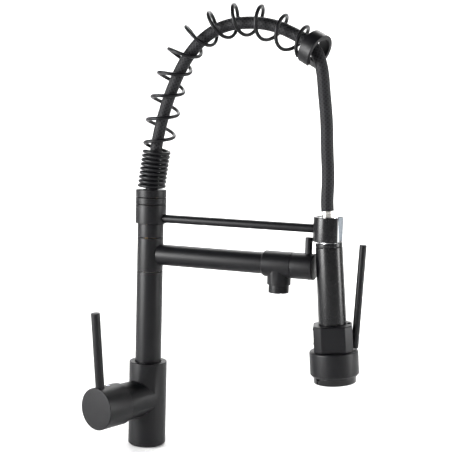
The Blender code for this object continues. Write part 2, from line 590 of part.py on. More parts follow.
def wire(name, points, radius, look, resolution=2):
    """A round wire through the points, with flat ends, as a mesh."""
    data = bpy.data.curves.new(name, "CURVE")
    data.dimensions = "3D"
    spline = data.splines.new("POLY")
    spline.points.add(len(points) - 1)
    spline.points.foreach_set("co", np.column_stack([points, np.ones(len(points))]).ravel())
    data.bevel_depth = radius
    data.bevel_resolution = resolution
    data.use_fill_caps = True
    curve = bpy.data.objects.new(name + "_line", data)
    PARTS.objects.link(curve)
    mesh = bpy.data.meshes.new_from_object(curve.evaluated_get(bpy.context.evaluated_depsgraph_get()))
    bpy.data.objects.remove(curve, do_unlink=True)
    weld(mesh)
    obj = place(bpy.data.objects.new(name, mesh), UPRIGHT, PARTS, None)
    mesh.materials.clear()
    mesh.materials.append(look)
    return shade(obj, 50)


def spring():
    """A right-handed coil round the arch line: tight turns on the seat, then open turns whose pitch grows."""
    line, length = smooth_line(arch_points(ARCH_LINE), 800)
    start = SPRING_WIRE + 0.3 * MM
    along = np.linspace(0, length, 800)
    tight = SPRING_TIGHT_H
    open_length = length - tight - start
    growth = (SPRING_PITCH_END - SPRING_PITCH_START) / open_length
    open_turns = math.log(1 + growth * open_length / SPRING_PITCH_START) / growth
    turns = np.arange(int((SPRING_TIGHT_TURNS + open_turns) * SPRING_POINTS) + 1) / SPRING_POINTS
    beyond = np.maximum(turns - SPRING_TIGHT_TURNS, 0.0)
    where = np.where(turns < SPRING_TIGHT_TURNS, start + turns / SPRING_TIGHT_TURNS * tight,
                     start + tight + SPRING_PITCH_START / growth * (np.exp(growth * beyond) - 1))
    middle = np.stack([np.interp(where, along, line[:, k]) for k in (0, 1)], axis=1)
    way = np.gradient(line, axis=0)
    way /= np.linalg.norm(way, axis=1)[:, None]
    way = np.stack([np.interp(where, along, way[:, k]) for k in (0, 1)], axis=1)
    way /= np.linalg.norm(way, axis=1)[:, None]
    across = np.stack([way[:, 1], -way[:, 0]], axis=1)
    radius = SPRING_TIGHT_R + (SPRING_OPEN_R - SPRING_TIGHT_R) * np.clip(beyond * 1.5, 0, 1)
    angle = 2 * math.pi * (turns - SPRING_TIGHT_TURNS - open_turns) + math.radians(SPRING_END_TURN)
    side = radius * np.cos(angle)
    depth = radius * np.sin(angle)
    lead = depth * np.tan(np.radians(SPRING_LEAN) * beyond / open_turns)
    points = np.stack([middle[:, 0] + side * across[:, 0] + lead * way[:, 0], depth,
                       middle[:, 1] + side * across[:, 1] + lead * way[:, 1]], axis=1)
    wire("spring", points, SPRING_WIRE, SPRING_STEEL)


def hose():
    ferrule_foot = HEAD @ Vector((0, 0, FERRULE_TOP + GAP))
    ferrule_way = HEAD @ Vector((0, 0, FERRULE_TOP + 9 * MM))
    points = arch_points(HOSE_LINE) + [(ferrule_way.x, ferrule_way.z), (ferrule_foot.x, ferrule_foot.z)]
    line, length = smooth_line(points, 64)
    drift = np.linspace(0, 1, 64) ** 6 * ferrule_foot.y
    wire("hose", np.stack([line[:, 0], drift, line[:, 1]], axis=1), HOSE_R, BRAID, 3)
    return length


def ring_frame():
    knots = arch_points(ARCH_LINE)
    end = Vector((knots[-1][0], 0, knots[-1][1]))
    tilt = math.radians(RING_TILT)
    lean = math.radians(SPRING_LEAN)
    way = (math.cos(tilt) * math.cos(lean), -math.sin(lean), -math.sin(tilt) * math.cos(lean))
    return axis_frame(end, way, (-math.sin(tilt), 0, -math.cos(tilt)))


def spring_end_ring():
    frame = ring_frame() @ Matrix.Translation((0, 0, SPRING_WIRE + GAP))
    ring = tube("spring_end_ring", RING_R, RING_BORE, 0, RING_LENGTH, frame, BLACK, chamfer=0.5 * MM)
    slot = block("ring_slot", (5 * MM, -RING_SLOT / 2, -5 * MM), (30 * MM, RING_SLOT / 2, RING_LENGTH + 5 * MM), frame,
                 group=CUTTERS)
    cut(ring, slot)
    shade(ring)


# ---------------------------------------------------------------- spray head


def head_tubes():
    turned("hose_ferrule", [
        (4.0 * MM, FERRULE_TOP), (FERRULE_R - 0.4 * MM, FERRULE_TOP), (FERRULE_R, FERRULE_TOP - 0.4 * MM),
        (FERRULE_R, NECK_TOP + GAP), (4.0 * MM, NECK_TOP + GAP)], HEAD, STEEL, steps=24)
    turned("head_neck", [
        (5.0 * MM, NECK_TOP), (NECK_R - 1.0 * MM, NECK_TOP), (NECK_R, NECK_TOP - 1.0 * MM), (NECK_R, GRIP_TOP + GAP),
        (10.2 * MM, GRIP_TOP + GAP), (10.2 * MM, GRIP_TOP - 10 * MM), (5.0 * MM, GRIP_TOP - 10 * MM)],
        HEAD, CHROME, steps=24)
    tube("grip_ring", GRIP_R - 0.2 * MM, 10.5 * MM, GRIP_TOP - 4.4 * MM, GRIP_TOP, HEAD, SATIN, chamfer=0.4 * MM)
    low = BLOCK_TOP + GAP
    turned("grip_tube", [
        (10.5 * MM, GRIP_TOP - 4.7 * MM), (GRIP_R - 0.3 * MM, GRIP_TOP - 4.7 * MM), (GRIP_R, GRIP_TOP - 5.0 * MM),
        (GRIP_END_R, low), (10.5 * MM, low)], HEAD, SATIN)
    tube("water_tube", 6.4 * MM, 4.8 * MM, BLOCK_TOP + GAP, GRIP_TOP - 10.4 * MM, HEAD, PLASTIC, steps=24)


def rounded_square(half, corner):
    return [(half, corner - half), (half, half - corner), (half - corner, half), (corner - half, half),
            (-half, half - corner), (-half, corner - half), (corner - half, -half), (half - corner, -half)]


def prism(name, outline, levels, frame, look=None, group=None):
    """A flat outline of (x, y) points stood up through (shrink, height) levels, lowest first."""
    count = len(outline)
    points = [(x * shrink, y * shrink, height) for shrink, height in levels for x, y in outline]
    faces = [tuple(reversed(range(count))), tuple(range(len(points) - count, len(points)))]
    for level in range(len(levels) - 1):
        low, high = level * count, (level + 1) * count
        faces += [(low + i, low + (i + 1) % count, high + (i + 1) % count, high + i) for i in range(count)]
    mesh = bpy.data.meshes.new(name)
    mesh.from_pydata(points, [], faces)
    weld(mesh)
    return place(bpy.data.objects.new(name, mesh), frame, group or PARTS, look)


def trigger_way():
    """From the rod's foot to its top, in the head's own frame."""
    return Vector((TRIGGER_TOP[0] - TRIGGER_FOOT[0], 0, TRIGGER_TOP[1] - TRIGGER_FOOT[1]))


def trigger_frame(squeeze=0.0):
    """The rod's frame, with the trigger squeezed by so many degrees about its pin."""
    pivot = Matrix.Translation((TRIGGER_PIVOT[0], 0, TRIGGER_PIVOT[1]))
    turn = HEAD @ pivot @ Matrix.Rotation(math.radians(-squeeze), 4, "Y") @ pivot.inverted()
    return turn @ axis_frame((TRIGGER_FOOT[0], 0, TRIGGER_FOOT[1]), trigger_way(), (0, 1, 0))


def head_block():
    outline = rounded_square(BLOCK_HALF, BLOCK_CORNER)
    body = prism("head_block", outline, [(1.0, BLOCK_BOTTOM), (1.0, BLOCK_TOP - 1.4 * MM), (0.98, BLOCK_TOP - 0.4 * MM),
                                         (0.95, BLOCK_TOP)], HEAD, BLACK)
    waterway = rod("block_waterway", 5.0 * MM, BLOCK_BOTTOM - 2 * MM, BLOCK_TOP + 2 * MM, HEAD, group=CUTTERS, steps=24)
    stem_way = axis_frame(HEAD @ Vector((0, 0, TRIGGER_PIVOT[1])), HEAD.to_3x3() @ Vector((1, 0, 0)))
    stem_bore = turned("stem_bore", [
        (0, BLOCK_HALF + 5 * MM), (7.2 * MM, BLOCK_HALF + 5 * MM), (7.2 * MM, BLOCK_HALF - 2 * MM),
        (6.2 * MM, BLOCK_HALF - 2 * MM), (6.2 * MM, 8.4 * MM), (0, 8.4 * MM)], stem_way, None, CUTTERS, 24)
    pin_frame = HEAD @ Matrix.Translation((TRIGGER_PIVOT[0], 0, TRIGGER_PIVOT[1])) @ Matrix.Rotation(math.radians(-90), 4, "X")
    pin_hole = rod("trigger_pin_hole", 1.5 * MM + GAP, -12 * MM, BLOCK_HALF + 5 * MM, pin_frame, group=CUTTERS, steps=16)
    rocker_low = ROCKER_PIVOT[1] - ROCKER_H / 2 - 0.5 * MM
    rocker_high = ROCKER_PIVOT[1] + ROCKER_H / 2 + 0.5 * MM
    pocket = block("rocker_pocket", (-30 * MM, -ROCKER_W / 2 - 0.5 * MM, rocker_low),
                   (-9.0 * MM, ROCKER_W / 2 + 0.5 * MM, rocker_high), HEAD, group=CUTTERS)
    rocker_pin_frame = (HEAD @ Matrix.Translation((ROCKER_PIVOT[0], 0, ROCKER_PIVOT[1]))
                        @ Matrix.Rotation(math.radians(-90), 4, "X"))
    rocker_pin_hole = rod("rocker_pin_hole", 1.0 * MM + GAP, -ROCKER_W / 2 - 4 * MM, BLOCK_HALF + 5 * MM, rocker_pin_frame,
                          group=CUTTERS, steps=12)
    seats = [rod(f"trigger_seat{turn}", TRIGGER_R + TRIGGER_SEAT_GAP, -1 * MM, trigger_way().length,
                 trigger_frame(TRIGGER_TRAVEL * turn / 2), group=CUTTERS, steps=32) for turn in range(3)]
    boss_hole = rod("boss_hole", PLUG_R + 0.4 * MM, BLOCK_TOP - 5 * MM, BLOCK_TOP + 5 * MM,
                    HEAD @ Matrix.Translation((PLUG_X, 0, 0)), group=CUTTERS, steps=16)
    cut(body, waterway, stem_bore, pin_hole, pocket, rocker_pin_hole, boss_hole, *seats)
    shade(body)
    rod("trigger_pin", 1.5 * MM, -11.6 * MM, BLOCK_HALF - 0.6 * MM, pin_frame, STEEL, steps=16)
    rod("rocker_pin", 1.0 * MM, -ROCKER_W / 2 - 3.6 * MM, BLOCK_HALF - 0.6 * MM, rocker_pin_frame, STEEL, steps=12)
    turned("block_plug", [
        (0, BLOCK_TOP + 1.6 * MM), (PLUG_R - 0.9 * MM, BLOCK_TOP + 1.4 * MM), (PLUG_R - 0.1 * MM, BLOCK_TOP + 0.6 * MM),
        (PLUG_R, BLOCK_TOP - 4.6 * MM), (0, BLOCK_TOP - 4.6 * MM)],
        HEAD @ Matrix.Translation((PLUG_X, 0, 0)), CHROME, steps=16)


def bell():
    top = BLOCK_BOTTOM - GAP
    turned("spray_bell", [
        (5.0 * MM, top), (BELL_R - 3.0 * MM, top), (BELL_R - 1.4 * MM, top - 0.4 * MM), (BELL_R - 0.4 * MM, top - 1.4 * MM),
        (BELL_R, top - 3.0 * MM), (BELL_R, BELL_BOTTOM + 2.6 * MM), (BELL_R - 2.4 * MM, BELL_BOTTOM),
        (NOZZLE_R - 2.4 * MM, BELL_BOTTOM), (NOZZLE_R - 2.4 * MM, BELL_BOTTOM + 12 * MM), (5.0 * MM, top - 6 * MM)],
        HEAD, BLACK)
    low = NOZZLE_BOTTOM
    turned("nozzle_ring", [
        (NOZZLE_R - 2.8 * MM, BELL_BOTTOM + 8 * MM), (NOZZLE_R - 2.75 * MM, BELL_BOTTOM - GAP),
        (NOZZLE_R, BELL_BOTTOM - GAP), (NOZZLE_R, low + 1.4 * MM), (NOZZLE_R - 0.4 * MM, low + 0.5 * MM),
        (NOZZLE_R - 1.4 * MM, low), (NOZZLE_R - 4.0 * MM, low), (NOZZLE_R - 4.6 * MM, low + 0.8 * MM),
        (NOZZLE_R - 4.6 * MM, BELL_BOTTOM + 8 * MM)], HEAD, SATIN)
    plate = rod("spray_plate", NOZZLE_R - 4.6 * MM - GAP, low + 1.6 * MM, low + 5.2 * MM, HEAD, RUBBER)
    for index in range(8):
        spot = polar(45 * index) * (13.0 * MM)
        nub = turned(f"spray_nub{index}", [
            (0, low + 2.6 * MM), (1.5 * MM, low + 2.6 * MM), (0.9 * MM, low + 0.2 * MM), (0, low + 0.2 * MM)],
            HEAD @ Matrix.Translation(spot), None, CUTTERS, 8)
        add(plate, nub)
    for index in range(4):
        spot = polar(90 * index + 22) * (6.6 * MM)
        nub = turned(f"spray_inner_nub{index}", [
            (0, low + 2.6 * MM), (1.5 * MM, low + 2.6 * MM), (0.9 * MM, low + 0.2 * MM), (0, low + 0.2 * MM)],
            HEAD @ Matrix.Translation(spot), None, CUTTERS, 8)
        add(plate, nub)
    shade(plate)


def trigger():
    body = rod("trigger_lever", TRIGGER_R, 0, trigger_way().length, trigger_frame(), BLACK, steps=20, chamfer=0.5 * MM)
    stem_frame = axis_frame(HEAD @ Vector((0, 0, TRIGGER_PIVOT[1])), HEAD.to_3x3() @ Vector((1, 0, 0)))
    stem = rod("trigger_stem", 3.9 * MM, 9.4 * MM, BLOCK_HALF + 3.0 * MM, stem_frame, group=CUTTERS, steps=24)
    pin_frame = HEAD @ Matrix.Translation((TRIGGER_PIVOT[0], 0, TRIGGER_PIVOT[1])) @ Matrix.Rotation(math.radians(-90), 4, "X")
    pin_hole = rod("stem_pin_hole", 1.5 * MM + RUN, -10 * MM, 10 * MM, pin_frame, group=CUTTERS, steps=16)
    add(body, stem)
    cut(body, pin_hole)
    shade(body)


def mode_rocker():
    """A rocker with a hollowed face, so that both ends stand out."""
    x, z = ROCKER_PIVOT
    half = ROCKER_H / 2
    face = -BLOCK_HALF - 0.9 * MM
    steps = 10
    outline = []
    for i in range(steps + 1):
        t = -1 + 2 * i / steps
        outline.append((face + 2.0 * MM * (1 - t * t), z + t * (half - 0.9 * MM)))
    outline += [(x - 1.6 * MM, z + half), (x + 1.2 * MM, z + 2.4 * MM), (x + 1.2 * MM, z - 2.4 * MM), (x - 1.6 * MM, z - half)]
    count = len(outline)
    points = [(px, side * ROCKER_W / 2, pz) for side in (-1, 1) for px, pz in outline]
    sides = [(i, i + count, (i + 1) % count + count, (i + 1) % count) for i in range(count)]
    mesh = bpy.data.meshes.new("mode_rocker")
    mesh.from_pydata(points, [], [tuple(range(count)), tuple(reversed(range(count, 2 * count)))] + sides)
    weld(mesh)
    body = place(bpy.data.objects.new("mode_rocker", mesh), HEAD, PARTS, SATIN)
    pin_frame = HEAD @ Matrix.Translation((x, 0, z)) @ Matrix.Rotation(math.radians(-90), 4, "X")
    hole = rod("rocker_bore", 1.0 * MM + RUN, -ROCKER_W, ROCKER_W, pin_frame, group=CUTTERS, steps=12)
    cut(body, hole)
    shade(body)


def shade_plain_pieces():
    for obj in PARTS.objects:
        if not any(face.use_smooth for face in obj.data.polygons):
            shade(obj)


base_body()
column()
swivel_seal("seal_low", COLUMN_TOP + SEAM + 2 * MM)
swivel_seal("seal_high", SPOUT_SEAM - 5 * MM)
cartridge()
lever()
spout()
aerator()
spout_valve()
dock()
dock_clip()
spring()
hose()
spring_end_ring()
head_tubes()
head_block()
bell()
trigger()
mode_rocker()
shade_plain_pieces()
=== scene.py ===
"""The looks of a pull-down kitchen faucet: coated shells, a fine coil, a braided hose, and the studio."""

import json
import math

import bpy
import numpy as np
from bpy.props import FloatProperty, FloatVectorProperty, IntProperty, PointerProperty
from bpy.types import Operator, Panel, PropertyGroup
from mathutils import Matrix, Vector


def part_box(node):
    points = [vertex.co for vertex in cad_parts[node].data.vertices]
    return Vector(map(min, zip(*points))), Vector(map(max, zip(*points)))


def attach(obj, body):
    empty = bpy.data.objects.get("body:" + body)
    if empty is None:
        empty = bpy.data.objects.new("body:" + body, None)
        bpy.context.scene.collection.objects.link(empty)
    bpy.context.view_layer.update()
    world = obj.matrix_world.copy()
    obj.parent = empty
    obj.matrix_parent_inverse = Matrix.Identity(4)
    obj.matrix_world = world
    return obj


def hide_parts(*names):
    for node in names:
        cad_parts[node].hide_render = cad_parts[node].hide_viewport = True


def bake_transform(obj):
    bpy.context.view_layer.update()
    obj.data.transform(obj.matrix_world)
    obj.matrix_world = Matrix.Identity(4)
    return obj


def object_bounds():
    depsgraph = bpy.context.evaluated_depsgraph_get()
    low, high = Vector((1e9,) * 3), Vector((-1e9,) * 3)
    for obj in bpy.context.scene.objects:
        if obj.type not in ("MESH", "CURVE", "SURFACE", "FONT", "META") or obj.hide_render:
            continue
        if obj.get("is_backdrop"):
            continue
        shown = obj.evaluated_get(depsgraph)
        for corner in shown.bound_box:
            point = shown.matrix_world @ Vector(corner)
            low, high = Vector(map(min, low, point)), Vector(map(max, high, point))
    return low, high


bl_info = {
    "name": "Pull-down faucet looks",
    "version": (1, 0, 0),
    "blender": (4, 5, 0),
    "location": "3D View > Sidebar > Faucet",
    "description": "Builds a pull-down faucet's coated shells, coil, braided hose and studio",
    "category": "Add Mesh",
}

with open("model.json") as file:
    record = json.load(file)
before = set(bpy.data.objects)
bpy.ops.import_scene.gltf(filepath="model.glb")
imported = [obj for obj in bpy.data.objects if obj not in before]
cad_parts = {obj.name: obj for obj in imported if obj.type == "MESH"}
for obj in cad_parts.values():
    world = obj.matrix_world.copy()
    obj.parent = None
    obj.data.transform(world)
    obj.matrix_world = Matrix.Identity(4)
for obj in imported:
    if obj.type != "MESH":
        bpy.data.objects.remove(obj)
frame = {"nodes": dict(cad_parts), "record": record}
CAD_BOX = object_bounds()
MM = 0.001
GAP = 0.3 * MM  # between neighbouring pieces that are fixed together
SEAM = 0.6 * MM


# ---------------------------------------------------------------- places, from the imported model


def span(node, axis):
    """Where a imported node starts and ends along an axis, 0 to 2."""
    low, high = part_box(node)
    return low[axis], high[axis]


def joint(name):
    return next(j for j in frame["record"]["behaviour"]["joints"] if j["name"] == name)


def axis_frame(origin, direction, lean_to=None):
    """A matrix whose Z lies along the direction and whose X leans towards lean_to."""
    z = Vector(direction).normalized()
    x = Vector(lean_to) if lean_to is not None else Vector((1, 0, 0) if abs(z.x) < 0.9 else (0, 1, 0))
    x = (x - z * x.dot(z)).normalized()
    y = z.cross(x)
    return Matrix.Translation(Vector(origin)) @ Matrix((x, y, z)).transposed().to_4x4()


UPRIGHT = Matrix.Identity(4)
UP = Vector((0, 0, 1))

# base, column and stack
BASE_R = span("base_body", 0)[1]
BASE_H = span("base_body", 2)[1]
COLUMN_R = span("column_tube", 0)[1]
COLUMN_LOW, COLUMN_TOP = span("column_tube", 2)
COLUMN_SINK = BASE_H - COLUMN_LOW
LEDGE_GAP = 0.7 * MM
SPOUT_SEAM = span("upper_sleeve", 2)[0] - SEAM
COLLAR_R = span("dock_collar", 0)[1]

# side lever
HANDLE_WAY = Vector(joint("handle_turn")["axis"])
HANDLE = axis_frame(joint("handle_turn")["pos_m"], HANDLE_WAY, UP)
BRANCH_R = 22.0 * MM
BRANCH_END = 46.8 * MM
CAP_R = 24.5 * MM
CAP_START = 47.7 * MM
CAP_END = 84.8 * MM
DOT_BACK = 18.8 * MM
LEVER_R = 5.2 * MM
LEVER_TOP = 112.6 * MM
LEVER_OFFSET = 76.4 * MM
LEVER_LEAN = 5.7

# spout
SPOUT_Z = joint("spout_valve_turn")["pos_m"][2]
SPOUT = axis_frame((0, 0, SPOUT_Z), (1, 0, 0), UP)
SPOUT_R = 12.4 * MM
TEE_START, TEE_END = span("spout_tee", 0)
TEE_R = span("spout_tee", 2)[1] - SPOUT_Z
KNOB_END = span("valve_knob", 0)[1]
OUTLET_X = sum(span("aerator_insert", 0)) / 2
OUTLET_BOTTOM = span("spout_tee", 2)[0]
OUTLET_R = 13.5 * MM
OUTLET = Matrix.Translation((OUTLET_X, 0, 0))
AERATOR_R = (span("aerator_housing", 0)[1] - span("aerator_housing", 0)[0]) / 2
VALVE_LEVER_X = sum(span("valve_lever", 0)) / 2
VALVE_LEVER_R = (span("valve_lever", 0)[1] - span("valve_lever", 0)[0]) / 2

# docking arm
ARM_R = span("dock_rod", 1)[1]
ARM_Z = sum(span("dock_rod", 2)) / 2
ARM_END = span("dock_rod", 0)[1]
CLIP_R = span("dock_clip", 1)[1]
CLIP_BORE = 13.1 * MM
CLIP_SLOT = 19.8 * MM
CLIP_X = span("dock_clip", 0)[0] + CLIP_R
CLIP_H = span("dock_clip", 2)[1] - span("dock_clip", 2)[0]
CLIP = Matrix.Translation((CLIP_X, 0, ARM_Z))
ARM = axis_frame((0, 0, ARM_Z), (1, 0, 0), UP)

# spring, hose and arch
SEAT_TOP = span("spring_seat", 2)[1]
SPRING_WIRE = 2.15 * MM
SPRING_TIGHT_R = 14.6 * MM
SPRING_OPEN_R = 17.2 * MM
SPRING_TIGHT_TURNS = 9
SPRING_TIGHT_H = 45.0 * MM
SPRING_PITCH_START = 27.0 * MM
SPRING_PITCH_END = 27.4 * MM
SPRING_END_TURN = 329.0
SPRING_LEAN = 12.0
HOSE_R = 7.1 * MM
ARCH_RISE = 200.0 * MM
ARCH_REACH = CLIP_X
# the spring's middle line: fractions of the arm's reach, and of the rise above the collar
ARCH_LINE = (
    (0.0, 0.0), (0.010, 0.09), (0.029, 0.23), (0.060, 0.425), (0.125, 0.690), (0.235, 0.875), (0.372, 0.955),
    (0.482, 0.983), (0.605, 0.968), (0.710, 0.9225), (0.862, 0.836),
)
# the hose's middle line, in the same fractions, from the spring seat to the spray head
HOSE_LINE = (
    (0.0, -0.012), (0.008, 0.09), (0.034, 0.30), (0.122, 0.615), (0.188, 0.755), (0.290, 0.880),
    (0.400, 0.945), (0.530, 0.965), (0.680, 0.945), (0.800, 0.892), (0.885, 0.830), (0.930, 0.740),
    (0.953, 0.590), (0.970, 0.440), (0.981, 0.250), (0.990, 0.100),
)
RING_R = 20.0 * MM
RING_BORE = 15.5 * MM
RING_LENGTH = 14.7 * MM
RING_TILT = 28.5
RING_SLOT = 16.4 * MM

# spray head, measured down its own axis from the middle of the clip
HEAD_UP = -Vector(joint("head_pull")["axis"])
HEAD_SIDE = Vector(joint("mode_rock")["axis"])
HEAD = axis_frame((CLIP_X, 0, ARM_Z), HEAD_UP, HEAD_SIDE.cross(HEAD_UP))
FERRULE_R = 7.4 * MM
FERRULE_TOP = 20.6 * MM
NECK_R = 11.6 * MM
NECK_TOP = 13.9 * MM
GRIP_TOP = -14.9 * MM
GRIP_R = 15.1 * MM
GRIP_END_R = 15.7 * MM
BLOCK_TOP = -106.0 * MM
BLOCK_BOTTOM = -134.8 * MM
BLOCK_HALF = 21.6 * MM
BLOCK_CORNER = 8.2 * MM
PLUG_X = 18.2 * MM
PLUG_R = 1.9 * MM
BELL_R = 27.4 * MM
BELL_BOTTOM = -164.0 * MM
NOZZLE_R = 24.0 * MM
NOZZLE_BOTTOM = -171.8 * MM
TRIGGER_R = 4.1 * MM
TRIGGER_TOP = (37.4 * MM, -18.8 * MM)
TRIGGER_FOOT = (23.4 * MM, -133.6 * MM)
TRIGGER_SEAT_GAP = 0.6 * MM
TRIGGER_TRAVEL = 8.0
TRIGGER_PIVOT = (13.5 * MM, -117.0 * MM)
ROCKER_PIVOT = (-12.5 * MM, -118.5 * MM)
ROCKER_H = 19.0 * MM
ROCKER_W = 15.0 * MM


# ---------------------------------------------------------------- surfaces


def rounded(corners, closed, arc=6):
    """The corners (across, up, fillet) of an outline, each fillet an arc tangent to both of its sides.

    For a corner P between the unit directions a and b, which meet at the angle w, the arc's middle is
    P + (a + b) / |a + b| * fillet / sin(w / 2), and it starts and ends fillet / tan(w / 2) along each side.
    """
    points = np.array([c[:2] for c in corners], float)
    fillets = np.array([c[2] if len(c) > 2 else 0.0 for c in corners])
    if not closed:
        fillets[[0, -1]] = 0.0
    back = np.roll(points, 1, axis=0) - points
    on = np.roll(points, -1, axis=0) - points
    back_length = np.linalg.norm(back, axis=1)
    on_length = np.linalg.norm(on, axis=1)
    a = back / np.maximum(back_length, 1e-9)[:, None]
    b = on / np.maximum(on_length, 1e-9)[:, None]
    half = np.arccos(np.clip((a * b).sum(axis=1), -1, 1)) / 2
    half = np.clip(half, 0.02, math.pi / 2 - 0.001)
    reach = np.minimum(fillets / np.tan(half), 0.49 * np.minimum(back_length, on_length))
    radius = reach * np.tan(half)
    middle_way = a + b
    middle_way /= np.maximum(np.linalg.norm(middle_way, axis=1), 1e-9)[:, None]
    middle = points + middle_way * (radius / np.sin(half))[:, None]
    start = points + a * reach[:, None]
    end = points + b * reach[:, None]
    out = []
    for k in range(len(points)):
        if reach[k] <= 0:
            out.append(points[k][None])
            continue
        t = np.linspace(0, 1, arc + 1)[:, None]
        chord = start[k] + (end[k] - start[k]) * t - middle[k]
        out.append(middle[k] + chord / np.linalg.norm(chord, axis=1)[:, None] * radius[k])
    return np.concatenate(out)


def new_piece(name, points, faces, matrix=UPRIGHT):
    """An object at the origin whose mesh has the points, taken through the matrix, and the faces."""
    turn = np.array(matrix)
    placed = np.asarray(points, float) @ turn[:3, :3].T + turn[:3, 3]
    mesh = bpy.data.meshes.new(name)
    mesh.from_pydata(placed.tolist(), [], faces)
    mesh.update()
    obj = bpy.data.objects.new(name, mesh)
    bpy.context.scene.collection.objects.link(obj)
    return obj


def turned(name, matrix, corners, steps=96):
    """A surface of revolution: the outline's point (radius, height) goes to radius * (cos t, sin t), height.

    An outline that starts and ends at radius 0 has a pole at each end; any other is closed as a ring.
    """
    solid = corners[0][0] == 0 and corners[-1][0] == 0
    outline = rounded(corners, not solid)
    x, y = outline[:, 0], outline[:, 1]
    if (x * np.roll(y, -1) - np.roll(x, -1) * y).sum() < 0:
        outline = outline[::-1]
    t = np.linspace(0, 2 * math.pi, steps, endpoint=False)
    rings = outline[1:-1] if solid else outline
    count = len(rings)
    points = np.stack([np.outer(rings[:, 0], np.cos(t)), np.outer(rings[:, 0], np.sin(t)),
                       np.repeat(rings[:, 1:2], steps, axis=1)], axis=2).reshape(-1, 3)
    i, j = np.meshgrid(np.arange(count - 1 if solid else count), np.arange(steps), indexing="ij")
    up, side = (i + 1) % count, (j + 1) % steps
    quads = np.stack([i * steps + j, i * steps + side, up * steps + side, up * steps + j], axis=2)
    faces = quads.reshape(-1, 4).tolist()
    if solid:
        first, last = len(points), len(points) + 1
        points = np.vstack([points, [0, 0, outline[0, 1]], [0, 0, outline[-1, 1]]])
        ring = np.arange(steps)
        after = (ring + 1) % steps
        top = (count - 1) * steps
        faces += np.stack([np.full(steps, first), after, ring], axis=1).tolist()
        faces += np.stack([np.full(steps, last), top + ring, top + after], axis=1).tolist()
    return new_piece(name, points, faces, matrix)


def bar(name, matrix, radius, low, high, edge=0.3 * MM, steps=64):
    """A round bar along the matrix's Z with rounded ends' edges."""
    return turned(name, matrix, [(0, low), (radius, low, edge), (radius, high, edge), (0, high)], steps)


def ring(name, matrix, outer, inner, low, high, edge=0.3 * MM, steps=96):
    """A round tube along the matrix's Z with rounded edges."""
    return turned(name, matrix, [
        (inner, low, edge / 2), (outer, low, edge), (outer, high, edge), (inner, high, edge / 2)], steps)


def stacked(name, matrix, outlines):
    """Closed outlines of as many points each, joined from the lowest up, with flat faces at both ends."""
    rows, count = outlines.shape[:2]
    i, j = np.meshgrid(np.arange(rows - 1), np.arange(count), indexing="ij")
    side = (j + 1) % count
    quads = np.stack([i * count + j, i * count + side, (i + 1) * count + side, (i + 1) * count + j], axis=2)
    faces = quads.reshape(-1, 4).tolist()
    faces.append(list(range(count))[::-1])
    faces.append(list(range((rows - 1) * count, rows * count)))
    return new_piece(name, outlines.reshape(-1, 3), faces, matrix)


def brick(name, matrix, low, high):
    """A box between two corners."""
    x, y = np.array([low[0], high[0], high[0], low[0]]), np.array([low[1], low[1], high[1], high[1]])
    rows = [np.stack([x, y, np.full(4, z)], axis=1) for z in (low[2], high[2])]
    return stacked(name, matrix, np.stack(rows))


def along(name, path, way, radius, around, turn=0.0):
    """A round profile carried along a path: at each point the circle lies across the path's direction.

    The first axis of the circle is the given way less its part along the path, so the profile never twists.
    Both ends close on a pole. The UV map runs once round the profile, and along the path in metres.
    """
    step = np.gradient(path, axis=0)
    step /= np.linalg.norm(step, axis=1)[:, None]
    first = way - step * (way * step).sum(axis=1)[:, None]
    first /= np.linalg.norm(first, axis=1)[:, None]
    second = np.cross(step, first)
    t = np.linspace(0, 2 * math.pi, around, endpoint=False) + turn
    circle = first[:, None] * np.cos(t)[None, :, None] + second[:, None] * np.sin(t)[None, :, None]
    points = (path[:, None] + circle * np.broadcast_to(radius, len(path))[:, None, None]).reshape(-1, 3)
    rows = len(path)
    i, j = np.meshgrid(np.arange(rows - 1), np.arange(around), indexing="ij")
    side = (j + 1) % around
    row, on = i * around, (i + 1) * around
    quads = np.stack([row + j, row + side, on + side, on + j], axis=2)
    faces = quads.reshape(-1, 4).tolist()
    start, end = len(points), len(points) + 1
    points = np.vstack([points, path[0], path[-1]])
    ring_index = np.arange(around)
    after = (ring_index + 1) % around
    top = (rows - 1) * around
    faces += np.stack([np.full(around, start), after, ring_index], axis=1).tolist()
    faces += np.stack([np.full(around, end), top + ring_index, top + after], axis=1).tolist()
    obj = new_piece(name, points, faces)
    distance = np.concatenate(([0.0], np.cumsum(np.linalg.norm(np.diff(path, axis=0), axis=1))))
    u0, v0 = j / around, distance[i]
    u1, v1 = (j + 1) / around, distance[i + 1]
    corners = np.stack([np.stack(pair, 2) for pair in ((u0, v0), (u1, v0), (u1, v1), (u0, v1))], 2)
    ends = np.zeros((2 * around * 3, 2))
    ends[around * 3:, 1] = distance[-1]
    uv = obj.data.uv_layers.new(name="length_map")
    uv.data.foreach_set("uv", np.concatenate([corners.reshape(-1, 2), ends]).ravel().astype(np.float32))
    return obj


def merge(piece, other, operation="UNION"):
    """Joins another shape to a piece, or cuts it out, and leaves one closed mesh."""
    change = piece.modifiers.new("shape", "BOOLEAN")
    change.operation = operation
    change.solver = "EXACT"
    change.object = other
    mesh = bpy.data.meshes.new_from_object(piece.evaluated_get(bpy.context.evaluated_depsgraph_get()))
    piece.modifiers.clear()
    piece.data = mesh
    bpy.data.objects.remove(other, do_unlink=True)
    return piece


def cut(piece, *others):
    for other in others:
        merge(piece, other, "DIFFERENCE")
    return piece


